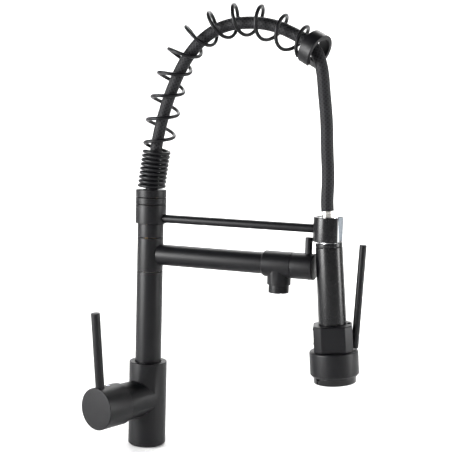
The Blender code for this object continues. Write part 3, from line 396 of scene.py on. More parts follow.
def soften(piece, width, segments=2):
    """Rounds the edges that a cut left."""
    bevel = piece.modifiers.new("edges", "BEVEL")
    bevel.width = width
    bevel.segments = segments
    bevel.limit_method = "ANGLE"
    bevel.angle_limit = math.radians(35)
    bevel.use_clamp_overlap = True
    mesh = bpy.data.meshes.new_from_object(piece.evaluated_get(bpy.context.evaluated_depsgraph_get()))
    piece.modifiers.clear()
    piece.data = mesh
    return piece


def dress(piece, look, body=None, nodes=(), sharp=30):
    """Gives a finished piece its material and its place in the frame."""
    mesh = piece.data
    mesh.materials.clear()
    mesh.materials.append(look)
    mesh.polygons.foreach_set("material_index", np.zeros(len(mesh.polygons), dtype=np.int32))
    mesh.polygons.foreach_set("use_smooth", np.ones(len(mesh.polygons), dtype=bool))
    mesh.set_sharp_from_angle(angle=math.radians(sharp))
    if body:
        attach(piece, body)
    if nodes:
        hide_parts(*nodes)
    return piece


# ---------------------------------------------------------------- materials


class Look:
    """A Principled material under construction."""

    def __init__(self, name, colour, roughness, metallic=0.0, specular=0.5):
        self.made = bpy.data.materials.new(name)
        self.made.use_nodes = True
        self.nodes = self.made.node_tree.nodes
        self.links = self.made.node_tree.links
        self.shader = self.nodes["Principled BSDF"]
        self.shader.inputs["Base Color"].default_value = (*colour, 1.0)
        self.shader.inputs["Roughness"].default_value = roughness
        self.shader.inputs["Metallic"].default_value = metallic
        self.shader.inputs["Specular IOR Level"].default_value = specular

    def node(self, kind, **values):
        made = self.nodes.new(kind)
        for key, value in values.items():
            setattr(made, key, value)
        return made

    def noise(self, scale, detail=3.0, stretch=(1, 1, 1)):
        """Noise on the object's own coordinates, scale being features in a metre."""
        place = self.node("ShaderNodeTexCoord")
        mapping = self.node("ShaderNodeMapping")
        mapping.inputs["Scale"].default_value = stretch
        made = self.node("ShaderNodeTexNoise")
        made.inputs["Scale"].default_value = scale
        made.inputs["Detail"].default_value = detail
        self.links.new(place.outputs["Object"], mapping.inputs["Vector"])
        self.links.new(mapping.outputs["Vector"], made.inputs["Vector"])
        return made.outputs["Fac"]

    def spread(self, value, low, high, socket):
        """Carries a 0 to 1 value to a shader socket between two values."""
        change = self.node("ShaderNodeMapRange")
        change.inputs["From Min"].default_value = 0.3
        change.inputs["From Max"].default_value = 0.7
        change.inputs["To Min"].default_value = low
        change.inputs["To Max"].default_value = high
        self.links.new(value, change.inputs["Value"])
        self.links.new(change.outputs["Result"], self.shader.inputs[socket])

    def tint(self, value, low, high):
        """Colours the surface between two colours."""
        ramp = self.node("ShaderNodeValToRGB")
        ramp.color_ramp.elements[0].position = 0.3
        ramp.color_ramp.elements[0].color = (*low, 1.0)
        ramp.color_ramp.elements[1].position = 0.7
        ramp.color_ramp.elements[1].color = (*high, 1.0)
        self.links.new(value, ramp.inputs["Fac"])
        self.links.new(ramp.outputs["Color"], self.shader.inputs["Base Color"])

    def relief(self, value, height, strength=1.0):
        """Raises the surface by a value, in metres."""
        bump = self.node("ShaderNodeBump")
        bump.inputs["Distance"].default_value = height
        bump.inputs["Strength"].default_value = strength
        self.links.new(value, bump.inputs["Height"])
        self.links.new(bump.outputs["Normal"], self.shader.inputs["Normal"])


def scaled(colour, factor):
    return tuple(min(1.0, c * factor) for c in colour)


def powder_coat(name, colour, roughness, specular=0.2):
    """A fine-grained sprayed coat: even, with a slight orange peel."""
    look = Look(name, colour, roughness, 0.0, specular)
    grain = look.noise(1400.0, 4.0)
    broad = look.noise(45.0, 3.0)
    look.tint(broad, scaled(colour, 0.9), scaled(colour, 1.12))
    look.spread(grain, roughness - 0.04, roughness + 0.05, "Roughness")
    look.relief(grain, 0.02 * MM, 0.5)
    return look.made


def metal(name, colour, roughness, streak=(1, 1, 12), scale=260.0):
    """Machined or polished metal with fine tool marks."""
    look = Look(name, colour, roughness, 1.0)
    marks = look.noise(scale, 4.0, streak)
    look.tint(marks, scaled(colour, 0.93), scaled(colour, 1.04))
    look.spread(marks, max(0.02, roughness - 0.04), roughness + 0.06, "Roughness")
    look.relief(marks, 0.006 * MM, 0.4)
    return look.made


def moulded(name, colour, roughness):
    """Moulded rubber or plastic with a faint texture."""
    look = Look(name, colour, roughness, 0.0, 0.35)
    grain = look.noise(700.0, 3.0)
    look.tint(grain, scaled(colour, 0.9), scaled(colour, 1.1))
    look.spread(grain, roughness - 0.05, roughness + 0.05, "Roughness")
    look.relief(grain, 0.02 * MM, 0.4)
    return look.made


def braid(name, colour, strands, pitch):
    """A plaited sleeve: two sets of strands that cross at a slant, each a sine ridge, the higher one on top.

    The sets are sin(2 pi (strands u + v / pitch)) and the same with v turned round, u going once round the
    hose and v along it in metres, and which set is on top alternates like the squares of a chessboard.
    """
    look = Look(name, colour, 0.55, 0.0, 0.16)
    place = look.node("ShaderNodeUVMap", uv_map="length_map")
    split = look.node("ShaderNodeSeparateXYZ")
    look.links.new(place.outputs["UV"], split.inputs["Vector"])

    def maths(operation, a, b):
        made = look.node("ShaderNodeMath", operation=operation)
        for socket, value in zip(made.inputs, (a, b)):
            if isinstance(value, (int, float)):
                socket.default_value = value
            else:
                look.links.new(value, socket)
        return made.outputs["Value"]

    round_it = maths("MULTIPLY", split.outputs["X"], 2 * math.pi * strands)
    down_it = maths("MULTIPLY", split.outputs["Y"], 2 * math.pi / pitch)
    rising = maths("SINE", maths("ADD", round_it, down_it), 0)
    falling = maths("SINE", maths("SUBTRACT", round_it, down_it), 0)
    plait = maths("MAXIMUM", rising, falling)
    height = maths("MULTIPLY_ADD", plait, 0.5)
    height.node.inputs[2].default_value = 0.5
    # the colour follows the plait's height: painted shade in the hollows between strands, painted highlight
    # on their crests
    look.tint(height, scaled(colour, 0.2), scaled(colour, 3.0))
    look.relief(height, 0.35 * MM, 0.8)
    return look.made


LOOKS = {}


def make_looks(choice):
    black = tuple(choice.coat_colour)
    LOOKS["matte_black"] = powder_coat("matte_black", black, choice.coat_roughness)
    LOOKS["satin_black"] = powder_coat("satin_black", scaled(black, 0.7), choice.satin_roughness, 0.26)
    LOOKS["black_spring_steel"] = powder_coat(
        "black_spring_steel", scaled(black, 1.0), choice.coat_roughness - 0.05)
    LOOKS["gloss_black"] = powder_coat("gloss_black", scaled(black, 0.35), 0.1, 0.3)
    # pale grey-blue for the plates on the clip's jaw faces: a painted reflection of the bright studio
    LOOKS["jaw_reflection_plate"] = moulded("jaw_reflection_plate", (0.42, 0.46, 0.5), 0.3)
    LOOKS["brass"] = metal("brass", (0.72, 0.5, 0.24), 0.3)
    LOOKS["chrome"] = metal("chrome", (0.82, 0.83, 0.85), 0.08, (1, 1, 1), 120.0)
    LOOKS["stainless_steel"] = metal("stainless_steel", (0.62, 0.6, 0.57), 0.28)
    LOOKS["black_rubber"] = moulded("black_rubber", (0.02, 0.02, 0.022), 0.65)
    LOOKS["white_acetal"] = moulded("white_acetal", (0.78, 0.78, 0.75), 0.45)
    LOOKS["cold_blue"] = moulded("cold_blue", (0.02, 0.05, 0.3), 0.3)
    LOOKS["braided_hose"] = braid(
        "braided_hose", tuple(choice.braid_colour), choice.braid_strands, choice.braid_pitch)


# ---------------------------------------------------------------- base, column and side lever


def base_shell():
    """The base turned about the upright, joined to the lever's round branch."""
    body = turned("base_shell", UPRIGHT, [
        (0, 0), (BASE_R - 1.8 * MM, 0, 0.2 * MM), (BASE_R, 1.8 * MM, 1.2 * MM), (BASE_R, BASE_H, 0.7 * MM),
        (COLUMN_R + LEDGE_GAP, BASE_H, 0.25 * MM), (COLUMN_R + LEDGE_GAP, BASE_H - COLUMN_SINK),
        (0, BASE_H - COLUMN_SINK)], 144)
    branch = turned("branch", HANDLE, [
        (0, 0), (BRANCH_R, 0), (BRANCH_R, BRANCH_END, 0.5 * MM), (19.0 * MM, BRANCH_END, 0.2 * MM),
        (19.0 * MM, BRANCH_END - 3 * MM), (0, BRANCH_END - 3 * MM)], 144)
    merge(body, branch)
    dress(body, LOOKS["matte_black"], "body", ["base_body"])
    tube = ring("column_shell", UPRIGHT, COLUMN_R, COLUMN_R - 2.0 * MM, COLUMN_LOW, COLUMN_TOP, 0.45 * MM)
    dress(tube, LOOKS["matte_black"], "body", ["column_tube"])
    low, high = span("upper_sleeve", 2)
    sleeve = ring("upper_sleeve_shell", UPRIGHT, COLUMN_R, 9.4 * MM, low, high, 0.45 * MM)
    dress(sleeve, LOOKS["matte_black"], "body", ["upper_sleeve"])


def lever_shell():
    """The cap turned about the branch, its pin lever and the dot."""
    rim = 0.9 * MM
    cap = turned("lever_cap_shell", HANDLE, [
        (0, CAP_END), (CAP_R, CAP_END, rim), (CAP_R, CAP_START + 1.4 * MM, 0.1 * MM),
        (CAP_R - 1.3 * MM, CAP_START + 1.3 * MM, 0.1 * MM), (CAP_R - 1.3 * MM, CAP_START, 0.1 * MM),
        (CAP_R - 1.9 * MM, CAP_START, 0.2 * MM), (CAP_R - 1.9 * MM, CAP_END - 20 * MM, 2 * MM),
        (0, CAP_END - 20 * MM)], 144)
    lever_matrix = (HANDLE @ Matrix.Translation((0, 0, LEVER_OFFSET))
                    @ Matrix.Rotation(math.radians(90 - LEVER_LEAN), 4, "Y"))
    dot_matrix = (HANDLE @ Matrix.Translation((0, 0, CAP_END - DOT_BACK))
                  @ Matrix.Rotation(math.radians(90), 4, "Y"))
    cut(cap, bar("lever_seat", lever_matrix, LEVER_R + 0.25 * MM, 14 * MM, 40 * MM, 0, 48),
        bar("dot_seat", dot_matrix, 2.6 * MM, CAP_R - 8 * MM, CAP_R + 5 * MM, 0, 48))
    dress(cap, LOOKS["matte_black"], "lever", ["handle_cap"])
    pin = bar("lever_pin_shell", lever_matrix, LEVER_R, 14.4 * MM, LEVER_TOP, 0.6 * MM)
    dress(pin, LOOKS["matte_black"], "lever", ["handle_lever"])
    rim_ring = ring(
        "dot_rim", dot_matrix, 2.3 * MM, 1.5 * MM, CAP_R - 6 * MM, CAP_R + 0.3 * MM, 0.25 * MM, 48)
    dress(rim_ring, LOOKS["chrome"], "lever", ["indicator_ring"])
    dot = turned("dot_centre", dot_matrix, [
        (0, CAP_R - 0.5 * MM), (1.45 * MM, CAP_R - 0.5 * MM), (1.45 * MM, CAP_R - 0.05 * MM, 0.1 * MM),
        (0.8 * MM, CAP_R + 0.2 * MM, 0.4 * MM), (0, CAP_R + 0.25 * MM)], 32)
    dress(dot, LOOKS["cold_blue"], "lever")


# ---------------------------------------------------------------- spout with its valve


def spout_shell():
    """The turning sleeve with its pipe, the tee and the aerator, all round shapes joined."""
    arm = ring("spout_shell", UPRIGHT, COLUMN_R, 12.0 * MM, COLUMN_TOP + SEAM, SPOUT_SEAM, 0.45 * MM, 144)
    pipe = bar("spout_pipe", SPOUT, SPOUT_R, 12.6 * MM, TEE_START + 12 * MM, 0.3 * MM, 96)
    merge(arm, pipe)
    dress(arm, LOOKS["matte_black"], "spout", ["spout_arm"])
    tee = turned("tee_shell", SPOUT, [
        (0, TEE_START), (TEE_R - 1.2 * MM, TEE_START, 0.3 * MM), (TEE_R, TEE_START + 1.8 * MM, 1.6 * MM),
        (TEE_R, TEE_END, 0.35 * MM), (0, TEE_END)], 144)
    boss = turned("outlet_boss", OUTLET, [
        (0, OUTLET_BOTTOM + 5 * MM), (10.6 * MM, OUTLET_BOTTOM + 5 * MM),
        (10.6 * MM, OUTLET_BOTTOM, 0.1 * MM),
        (OUTLET_R, OUTLET_BOTTOM, 0.35 * MM), (OUTLET_R, SPOUT_Z - 2 * MM), (0, SPOUT_Z - 2 * MM)], 96)
    merge(tee, boss)
    cut(tee, bar("pipe_seat", SPOUT, SPOUT_R + GAP, TEE_START - 3 * MM, TEE_START + 12.4 * MM, 0, 96))
    dress(tee, LOOKS["matte_black"], "spout", ["spout_tee"])
    low, high = span("aerator_housing", 2)
    edge = OUTLET_BOTTOM - GAP
    housing = turned("aerator_shell", OUTLET, [
        (9.3 * MM, low, 0.2 * MM), (AERATOR_R, low, 0.8 * MM), (AERATOR_R, low + 3.6 * MM, 0.05 * MM),
        (AERATOR_R - 0.3 * MM, low + 3.8 * MM, 0.05 * MM), (AERATOR_R, low + 4.1 * MM, 0.05 * MM),
        (AERATOR_R, edge, 0.3 * MM), (10.3 * MM, edge), (10.3 * MM, high), (9.3 * MM, high)], 96)
    for turn in (35, 125):
        notch = brick("key_slot", OUTLET @ Matrix.Rotation(math.radians(turn), 4, "Z"),
                      (-0.8 * MM, -20 * MM, low - MM), (0.8 * MM, 20 * MM, low + 0.9 * MM))
        cut(housing, notch)
    dress(housing, LOOKS["matte_black"], "spout", ["aerator_housing"])


def valve_shell():
    """The knob turned about the spout, and its pin lever."""
    knob = turned("valve_knob_shell", SPOUT, [
        (0, TEE_END + 0.35 * MM), (TEE_R, TEE_END + 0.35 * MM, 0.35 * MM), (TEE_R, KNOB_END, 1.2 * MM),
        (0, KNOB_END)], 144)
    stem = Matrix.Translation((VALVE_LEVER_X, 0, SPOUT_Z))
    cut(knob, bar("valve_lever_seat", stem, VALVE_LEVER_R + 0.25 * MM, 7 * MM, 20 * MM, 0, 48),
        bar("valve_screw_seat", stem, 2.6 * MM, -20 * MM, -8 * MM, 0, 48))
    dress(knob, LOOKS["matte_black"], "spout_valve", ["valve_knob"])
    high = span("valve_lever", 2)[1] - SPOUT_Z
    pin = turned("valve_lever_shell", stem, [
        (0, 7.4 * MM), (VALVE_LEVER_R, 7.4 * MM), (VALVE_LEVER_R, high - 0.4 * MM, 0.9 * MM), (0, high)], 64)
    dress(pin, LOOKS["matte_black"], "spout_valve", ["valve_lever"])


# ---------------------------------------------------------------- docking arm, coil and hose


def dock_shell():
    """The collar's rings, the arm and the open clip, with pale plates on its jaw faces as a painted
    reflection.
    """
    for node, inner in (("dock_collar", 10.6 * MM), ("collar_ring", 10.0 * MM), ("spring_seat", 10.0 * MM)):
        low, high = span(node, 2)
        part = ring(node + "_shell", UPRIGHT, COLLAR_R, inner, low, high, 0.35 * MM, 120)
        if node == "dock_collar":
            cut(part, bar("arm_seat", ARM, ARM_R + 0.25 * MM, 12 * MM, 25 * MM, 0, 48))
        dress(part, LOOKS["matte_black"], "dock", [node])
    arm = bar("dock_rod_shell", ARM, ARM_R, span("dock_rod", 0)[0], ARM_END, 0.1 * MM, 64)
    dress(arm, LOOKS["matte_black"], "dock", ["dock_rod"])
    clip = ring("dock_clip_shell", CLIP, CLIP_R, CLIP_BORE, -CLIP_H / 2, CLIP_H / 2, 0.5 * MM, 144)
    cut(clip, brick("clip_mouth", CLIP, (5 * MM, -CLIP_SLOT / 2, -CLIP_H), (30 * MM, CLIP_SLOT / 2, CLIP_H)))
    dress(clip, LOOKS["satin_black"], "dock", ["dock_clip"])
    inner = math.sqrt(CLIP_BORE ** 2 - (CLIP_SLOT / 2) ** 2) + 0.4 * MM
    outer = math.sqrt(CLIP_R ** 2 - (CLIP_SLOT / 2) ** 2) - 0.4 * MM
    # pale plates on both jaw faces of the clip's mouth: a painted reflection, not a real part
    for side in (-1, 1):
        face = side * CLIP_SLOT / 2
        reflection_plate = brick("clip_jaw_reflection_plate", CLIP, (inner, min(face, face - side * 0.25 * MM), -CLIP_H / 2 + 0.6 * MM),
                    (outer, max(face, face - side * 0.25 * MM), CLIP_H / 2 - 0.6 * MM))
        reflection_plate.name = "clip_jaw_reflection_plate_far" if side > 0 else "clip_jaw_reflection_plate_near"
        dress(reflection_plate, LOOKS["jaw_reflection_plate"], "dock")


def smooth_line(points, count):
    """Points evenly spaced along a natural cubic spline through the given ones.

    Between knots the line is a mix of the two knots and of their second differences, which solve the usual
    three-term equations that make slope and bend run on.
    """
    knots = np.array(points, float)
    span_at = np.concatenate(([0.0], np.cumsum(np.linalg.norm(np.diff(knots, axis=0), axis=1))))
    h = np.diff(span_at)
    size = len(knots)
    system = np.zeros((size, size))
    right = np.zeros((size, knots.shape[1]))
    system[0, 0] = system[-1, -1] = 1.0
    for i in range(1, size - 1):
        system[i, i - 1:i + 2] = h[i - 1], 2 * (h[i - 1] + h[i]), h[i]
        right[i] = 6 * ((knots[i + 1] - knots[i]) / h[i] - (knots[i] - knots[i - 1]) / h[i - 1])
    bend = np.linalg.solve(system, right)
    fine = np.linspace(0, span_at[-1], 40 * size)
    i = np.clip(np.searchsorted(span_at, fine, side="right") - 1, 0, size - 2)
    a = ((span_at[i + 1] - fine) / h[i])[:, None]
    b = 1 - a
    step = h[i][:, None]
    curved = (a ** 3 - a) * bend[i] + (b ** 3 - b) * bend[i + 1]
    line = a * knots[i] + b * knots[i + 1] + curved * step ** 2 / 6
    length = np.concatenate(([0.0], np.cumsum(np.linalg.norm(np.diff(line, axis=0), axis=1))))
    even = np.linspace(0, length[-1], count)
    return np.stack([np.interp(even, length, line[:, k]) for k in range(line.shape[1])], axis=1), length[-1]


def arch_points(fractions):
    """Fractions of the reach and of the rise, as points (across, up) over the seat."""
    return [(x * ARCH_REACH, SEAT_TOP + z * ARCH_RISE) for x, z in fractions]


def coil(points_a_turn):
    """A right-handed coil round the arch line: tight turns on the seat, then open turns whose pitch grows.

    Along the open stretch the pitch grows in proportion to the distance, so the distance is an exponential of
    the number of turns.
    """
    line, length = smooth_line(arch_points(ARCH_LINE), 1600)
    start = SPRING_WIRE + GAP
    distance = np.linspace(0, length, 1600)
    open_length = length - SPRING_TIGHT_H - start
    growth = (SPRING_PITCH_END - SPRING_PITCH_START) / open_length
    open_turns = math.log(1 + growth * open_length / SPRING_PITCH_START) / growth
    turns = np.arange(int((SPRING_TIGHT_TURNS + open_turns) * points_a_turn) + 1) / points_a_turn
    beyond = np.maximum(turns - SPRING_TIGHT_TURNS, 0.0)
    where = np.where(turns < SPRING_TIGHT_TURNS, start + turns / SPRING_TIGHT_TURNS * SPRING_TIGHT_H,
                     start + SPRING_TIGHT_H + SPRING_PITCH_START / growth * (np.exp(growth * beyond) - 1))
    middle = np.stack([np.interp(where, distance, line[:, k]) for k in (0, 1)], axis=1)
    way = np.gradient(line, axis=0)
    way = np.stack([np.interp(where, distance, way[:, k]) for k in (0, 1)], axis=1)
    way /= np.linalg.norm(way, axis=1)[:, None]
    radius = SPRING_TIGHT_R + (SPRING_OPEN_R - SPRING_TIGHT_R) * np.clip(beyond * 1.5, 0, 1)
    angle = 2 * math.pi * (turns - SPRING_TIGHT_TURNS - open_turns) + math.radians(SPRING_END_TURN)
    side = radius * np.cos(angle)
    depth = radius * np.sin(angle)
    lead = depth * np.tan(np.radians(SPRING_LEAN) * beyond / open_turns)
    path = np.stack([middle[:, 0] + side * way[:, 1] + lead * way[:, 0], depth,
                     middle[:, 1] - side * way[:, 0] + lead * way[:, 1]], axis=1)
    return path, np.stack([way[:, 0], 0 * way[:, 0], way[:, 1]], axis=1)


def spring_piece(choice):
    """A round wire carried along the coil, blended from the dock to the head."""
    path, way = coil(choice.coil_points)
    piece = along("spring_coil", path, way, SPRING_WIRE, choice.wire_sides)
    dress(piece, LOOKS["black_spring_steel"], None, ["spring"], 60)
    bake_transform(piece)


def hose_piece(choice):
    """A round profile carried along the hose line, which drifts to the ferrule as distance ** 6."""
    foot = HEAD @ Vector((0, 0, FERRULE_TOP + GAP))
    near = HEAD @ Vector((0, 0, FERRULE_TOP + 9 * MM))
    knots = arch_points(HOSE_LINE) + [(near.x, near.z), (foot.x, foot.z)]
    line = smooth_line(knots, choice.hose_rings)[0]
    drift = np.linspace(0, 1, len(line)) ** 6 * foot.y
    path = np.stack([line[:, 0], drift, line[:, 1]], axis=1)
    side = np.tile([0.0, 1.0, 0.0], (len(path), 1))
    piece = along("braided_hose", path, side, HOSE_R, 48)
    dress(piece, LOOKS["braided_hose"], None, ["hose"], 60)
    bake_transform(piece)


def end_ring():
    """A tube round the arch line's last point, with a mouth cut through one side."""
    last = arch_points(ARCH_LINE)[-1]
    tilt = math.radians(RING_TILT)
    lean = math.radians(SPRING_LEAN)
    way = (math.cos(tilt) * math.cos(lean), -math.sin(lean), -math.sin(tilt) * math.cos(lean))
    matrix = axis_frame((last[0], 0, last[1]), way, (-math.sin(tilt), 0, -math.cos(tilt)))
    matrix = matrix @ Matrix.Translation((0, 0, SPRING_WIRE + GAP))
    piece = ring("end_ring_shell", matrix, RING_R, RING_BORE, 0, RING_LENGTH, 0.5 * MM, 144)
    cut(piece, brick("ring_mouth", matrix, (5 * MM, -RING_SLOT / 2, -5 * MM),
                     (30 * MM, RING_SLOT / 2, RING_LENGTH + 5 * MM)))
    dress(piece, LOOKS["matte_black"], "head", ["spring_end_ring"])


# ---------------------------------------------------------------- spray head


def grip_shell():
    """The ferrule, the neck and the grip, turned about the head's own axis."""
    ferrule = turned("ferrule_shell", HEAD, [
        (4.0 * MM, FERRULE_TOP), (FERRULE_R, FERRULE_TOP, 0.6 * MM),
        (FERRULE_R, FERRULE_TOP - 3.4 * MM, 0.1 * MM),
        (FERRULE_R - 0.35 * MM, FERRULE_TOP - 3.6 * MM, 0.1 * MM),
        (FERRULE_R - 0.35 * MM, NECK_TOP + GAP), (4.0 * MM, NECK_TOP + GAP)], 72)
    dress(ferrule, LOOKS["stainless_steel"], "head", ["hose_ferrule"])
    neck = turned("neck_shell", HEAD, [
        (5.0 * MM, NECK_TOP), (NECK_R, NECK_TOP, 1.2 * MM), (NECK_R, GRIP_TOP + GAP),
        (10.2 * MM, GRIP_TOP + GAP), (10.2 * MM, GRIP_TOP - 10 * MM), (5.0 * MM, GRIP_TOP - 10 * MM)], 96)
    dress(neck, LOOKS["chrome"], "head", ["head_neck"])
    lip = ring("grip_lip_shell", HEAD, GRIP_R - 0.15 * MM, 10.5 * MM, GRIP_TOP - 4.4 * MM, GRIP_TOP, 0.6 * MM)
    dress(lip, LOOKS["satin_black"], "head", ["grip_ring"])
    low = BLOCK_TOP + GAP
    grip = turned("grip_shell", HEAD, [
        (10.5 * MM, GRIP_TOP - 4.7 * MM), (GRIP_R, GRIP_TOP - 4.7 * MM, 0.4 * MM),
        (GRIP_END_R, low, 0.2 * MM),
        (10.5 * MM, low)], 120)
    dress(grip, LOOKS["satin_black"], "head", ["grip_tube"])


def trigger_way():
    """From the rod's foot to its top, in the head's own frame."""
    return Vector((TRIGGER_TOP[0] - TRIGGER_FOOT[0], 0, TRIGGER_TOP[1] - TRIGGER_FOOT[1]))


def trigger_frame(squeeze=0.0):
    """The rod's frame, with the trigger squeezed by so many degrees about its pin."""
    pivot = Matrix.Translation((TRIGGER_PIVOT[0], 0, TRIGGER_PIVOT[1]))
    turn = HEAD @ pivot @ Matrix.Rotation(math.radians(-squeeze), 4, "Y") @ pivot.inverted()
    return turn @ axis_frame((TRIGGER_FOOT[0], 0, TRIGGER_FOOT[1]), trigger_way(), (0, 1, 0))


def eight_sided(inset, height, arc=5):
    """A square with its corners cut off, moved in by inset on every side, at a height.

    Moving every side in by d takes d off the half width and (2 - sqrt 2) d off each cut corner.
    """
    half = BLOCK_HALF - inset
    corner = BLOCK_CORNER - inset * (2 - math.sqrt(2))
    k = half - corner
    corners = [(half, -k), (half, k), (k, half), (-k, half), (-half, k), (-half, -k), (-k, -half), (k, -half)]
    flat = rounded([(x, y, 1.6 * MM) for x, y in corners], True, arc)
    return np.column_stack([flat, np.full(len(flat), height)])


def block_shell():
    """Eight-sided outlines stacked up the head, with the lever's seat cut in."""
    edge = 1.7 * MM
    t = np.linspace(0, math.pi / 2, 7)
    low = [eight_sided(0.3 * MM * (1 - math.sin(a)), BLOCK_BOTTOM + 0.3 * MM * (1 - math.cos(a))) for a in t]
    high = [eight_sided(edge * (1 - math.cos(a)), BLOCK_TOP - edge + edge * math.sin(a)) for a in t]
    body = stacked("block_shell", HEAD, np.stack(low + high))
    stem = axis_frame(HEAD @ Vector((0, 0, TRIGGER_PIVOT[1])), HEAD.to_3x3() @ Vector((1, 0, 0)))
    rocker_low = ROCKER_PIVOT[1] - ROCKER_H / 2 - 0.5 * MM
    rocker_high = ROCKER_PIVOT[1] + ROCKER_H / 2 + 0.5 * MM
    plug = HEAD @ Matrix.Translation((PLUG_X, 0, 0))
    cut(body, bar("stem_seat", stem, 6.2 * MM, 8.4 * MM, BLOCK_HALF + 5 * MM, 0, 64),
        bar("stem_mouth", stem, 7.2 * MM, BLOCK_HALF - 2 * MM, BLOCK_HALF + 6 * MM, 0, 64),
        brick("rocker_pocket", HEAD, (-30 * MM, -ROCKER_W / 2 - 0.5 * MM, rocker_low),
              (-9 * MM, ROCKER_W / 2 + 0.5 * MM, rocker_high)),
        bar("plug_seat", plug, PLUG_R + 0.4 * MM, BLOCK_TOP - 5 * MM, BLOCK_TOP + 5 * MM, 0, 48),
        *[bar("trigger_seat", trigger_frame(TRIGGER_TRAVEL * turn / 2), TRIGGER_R + TRIGGER_SEAT_GAP, -1 * MM,
              trigger_way().length, 0, 64) for turn in range(3)])
    for (x, z), r in ((TRIGGER_PIVOT, 1.8 * MM), (ROCKER_PIVOT, 1.3 * MM)):
        pin = HEAD @ Matrix.Translation((x, 0, z)) @ Matrix.Rotation(math.radians(-90), 4, "X")
        cut(body, bar("pin_seat", pin, r, -ROCKER_W / 2 - 4 * MM, BLOCK_HALF + 5 * MM, 0, 32))
    dress(body, LOOKS["matte_black"], "head", ["head_block"])
    dome = turned("plug_shell", plug, [
        (0, BLOCK_TOP - 4.6 * MM), (PLUG_R, BLOCK_TOP - 4.6 * MM), (PLUG_R, BLOCK_TOP + 0.8 * MM, 0.5 * MM),
        (PLUG_R - 0.8 * MM, BLOCK_TOP + 1.5 * MM, 0.7 * MM), (0, BLOCK_TOP + 1.6 * MM)], 48)
    dress(dome, LOOKS["gloss_black"], "head", ["block_plug"])


def bell_shell():
    """The bell, the nozzle ring and the plate, turned about the head's own axis."""
    top = BLOCK_BOTTOM - GAP
    bell = turned("bell_shell", HEAD, [
        (5.0 * MM, top), (BELL_R, top, 2.6 * MM), (BELL_R, BELL_BOTTOM + 2.6 * MM, 0.8 * MM),
        (BELL_R - 2.4 * MM, BELL_BOTTOM, 0.4 * MM), (NOZZLE_R - 2.4 * MM, BELL_BOTTOM),
        (NOZZLE_R - 2.4 * MM, BELL_BOTTOM + 12 * MM), (5.0 * MM, top - 6 * MM)], 144)
    dress(bell, LOOKS["matte_black"], "head", ["spray_bell"])
    low = NOZZLE_BOTTOM
    nozzle = turned("nozzle_shell", HEAD, [
        (NOZZLE_R - 4.6 * MM, BELL_BOTTOM + 8 * MM), (NOZZLE_R - 2.8 * MM, BELL_BOTTOM + 8 * MM),
        (NOZZLE_R - 2.75 * MM, BELL_BOTTOM - GAP), (NOZZLE_R, BELL_BOTTOM - GAP, 0.2 * MM),
        (NOZZLE_R, low, 1.6 * MM), (NOZZLE_R - 4.6 * MM, low, 0.8 * MM)], 144)
    dress(nozzle, LOOKS["gloss_black"], "head", ["nozzle_ring"])


def trigger_shell():
    """A round rod along the line from the lever's top to its foot."""
    body = bar("trigger_shell", trigger_frame(), TRIGGER_R, 0, trigger_way().length, 0.6 * MM, 72)
    stem = axis_frame(HEAD @ Vector((0, 0, TRIGGER_PIVOT[1])), HEAD.to_3x3() @ Vector((1, 0, 0)))
    merge(body, bar("trigger_stem", stem, 3.9 * MM, 9.4 * MM, BLOCK_HALF + 3.0 * MM, 0, 64))
    dress(body, LOOKS["matte_black"], "trigger", ["trigger_lever"])


def rocker_shell():
    """A rocker whose outer face is hollowed as a parabola, so that both ends stand out."""
    x, z = ROCKER_PIVOT
    half = ROCKER_H / 2
    face = -BLOCK_HALF - 0.9 * MM
    t = np.linspace(-1, 1, 25)
    hollow = np.stack([face + 2.0 * MM * (1 - t * t), z + t * (half - 0.9 * MM)], axis=1)
    back = np.array([(x - 1.6 * MM, z + half), (x + 1.2 * MM, z + 2.4 * MM), (x + 1.2 * MM, z - 2.4 * MM),
                     (x - 1.6 * MM, z - half)])
    flat = np.concatenate([hollow, back])
    rows = [np.column_stack([flat, np.full(len(flat), s * ROCKER_W / 2)]) for s in (-1, 1)]
    matrix = HEAD @ Matrix(((1, 0, 0, 0), (0, 0, -1, 0), (0, 1, 0, 0), (0, 0, 0, 1)))
    piece = stacked("rocker_shell", matrix, np.stack(rows)[:, ::-1])
    soften(piece, 0.35 * MM)
    dress(piece, LOOKS["satin_black"], "rocker", ["mode_rocker"])


# ---------------------------------------------------------------- what stays as packed


def packed_looks():
    """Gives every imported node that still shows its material."""
    for row in frame["record"]["subparts"]:
        node = frame["nodes"][row["node"]]
        look = LOOKS[row["material_slot"]]
        node.data.materials.clear()
        node.data.materials.append(look)


# ---------------------------------------------------------------- studio


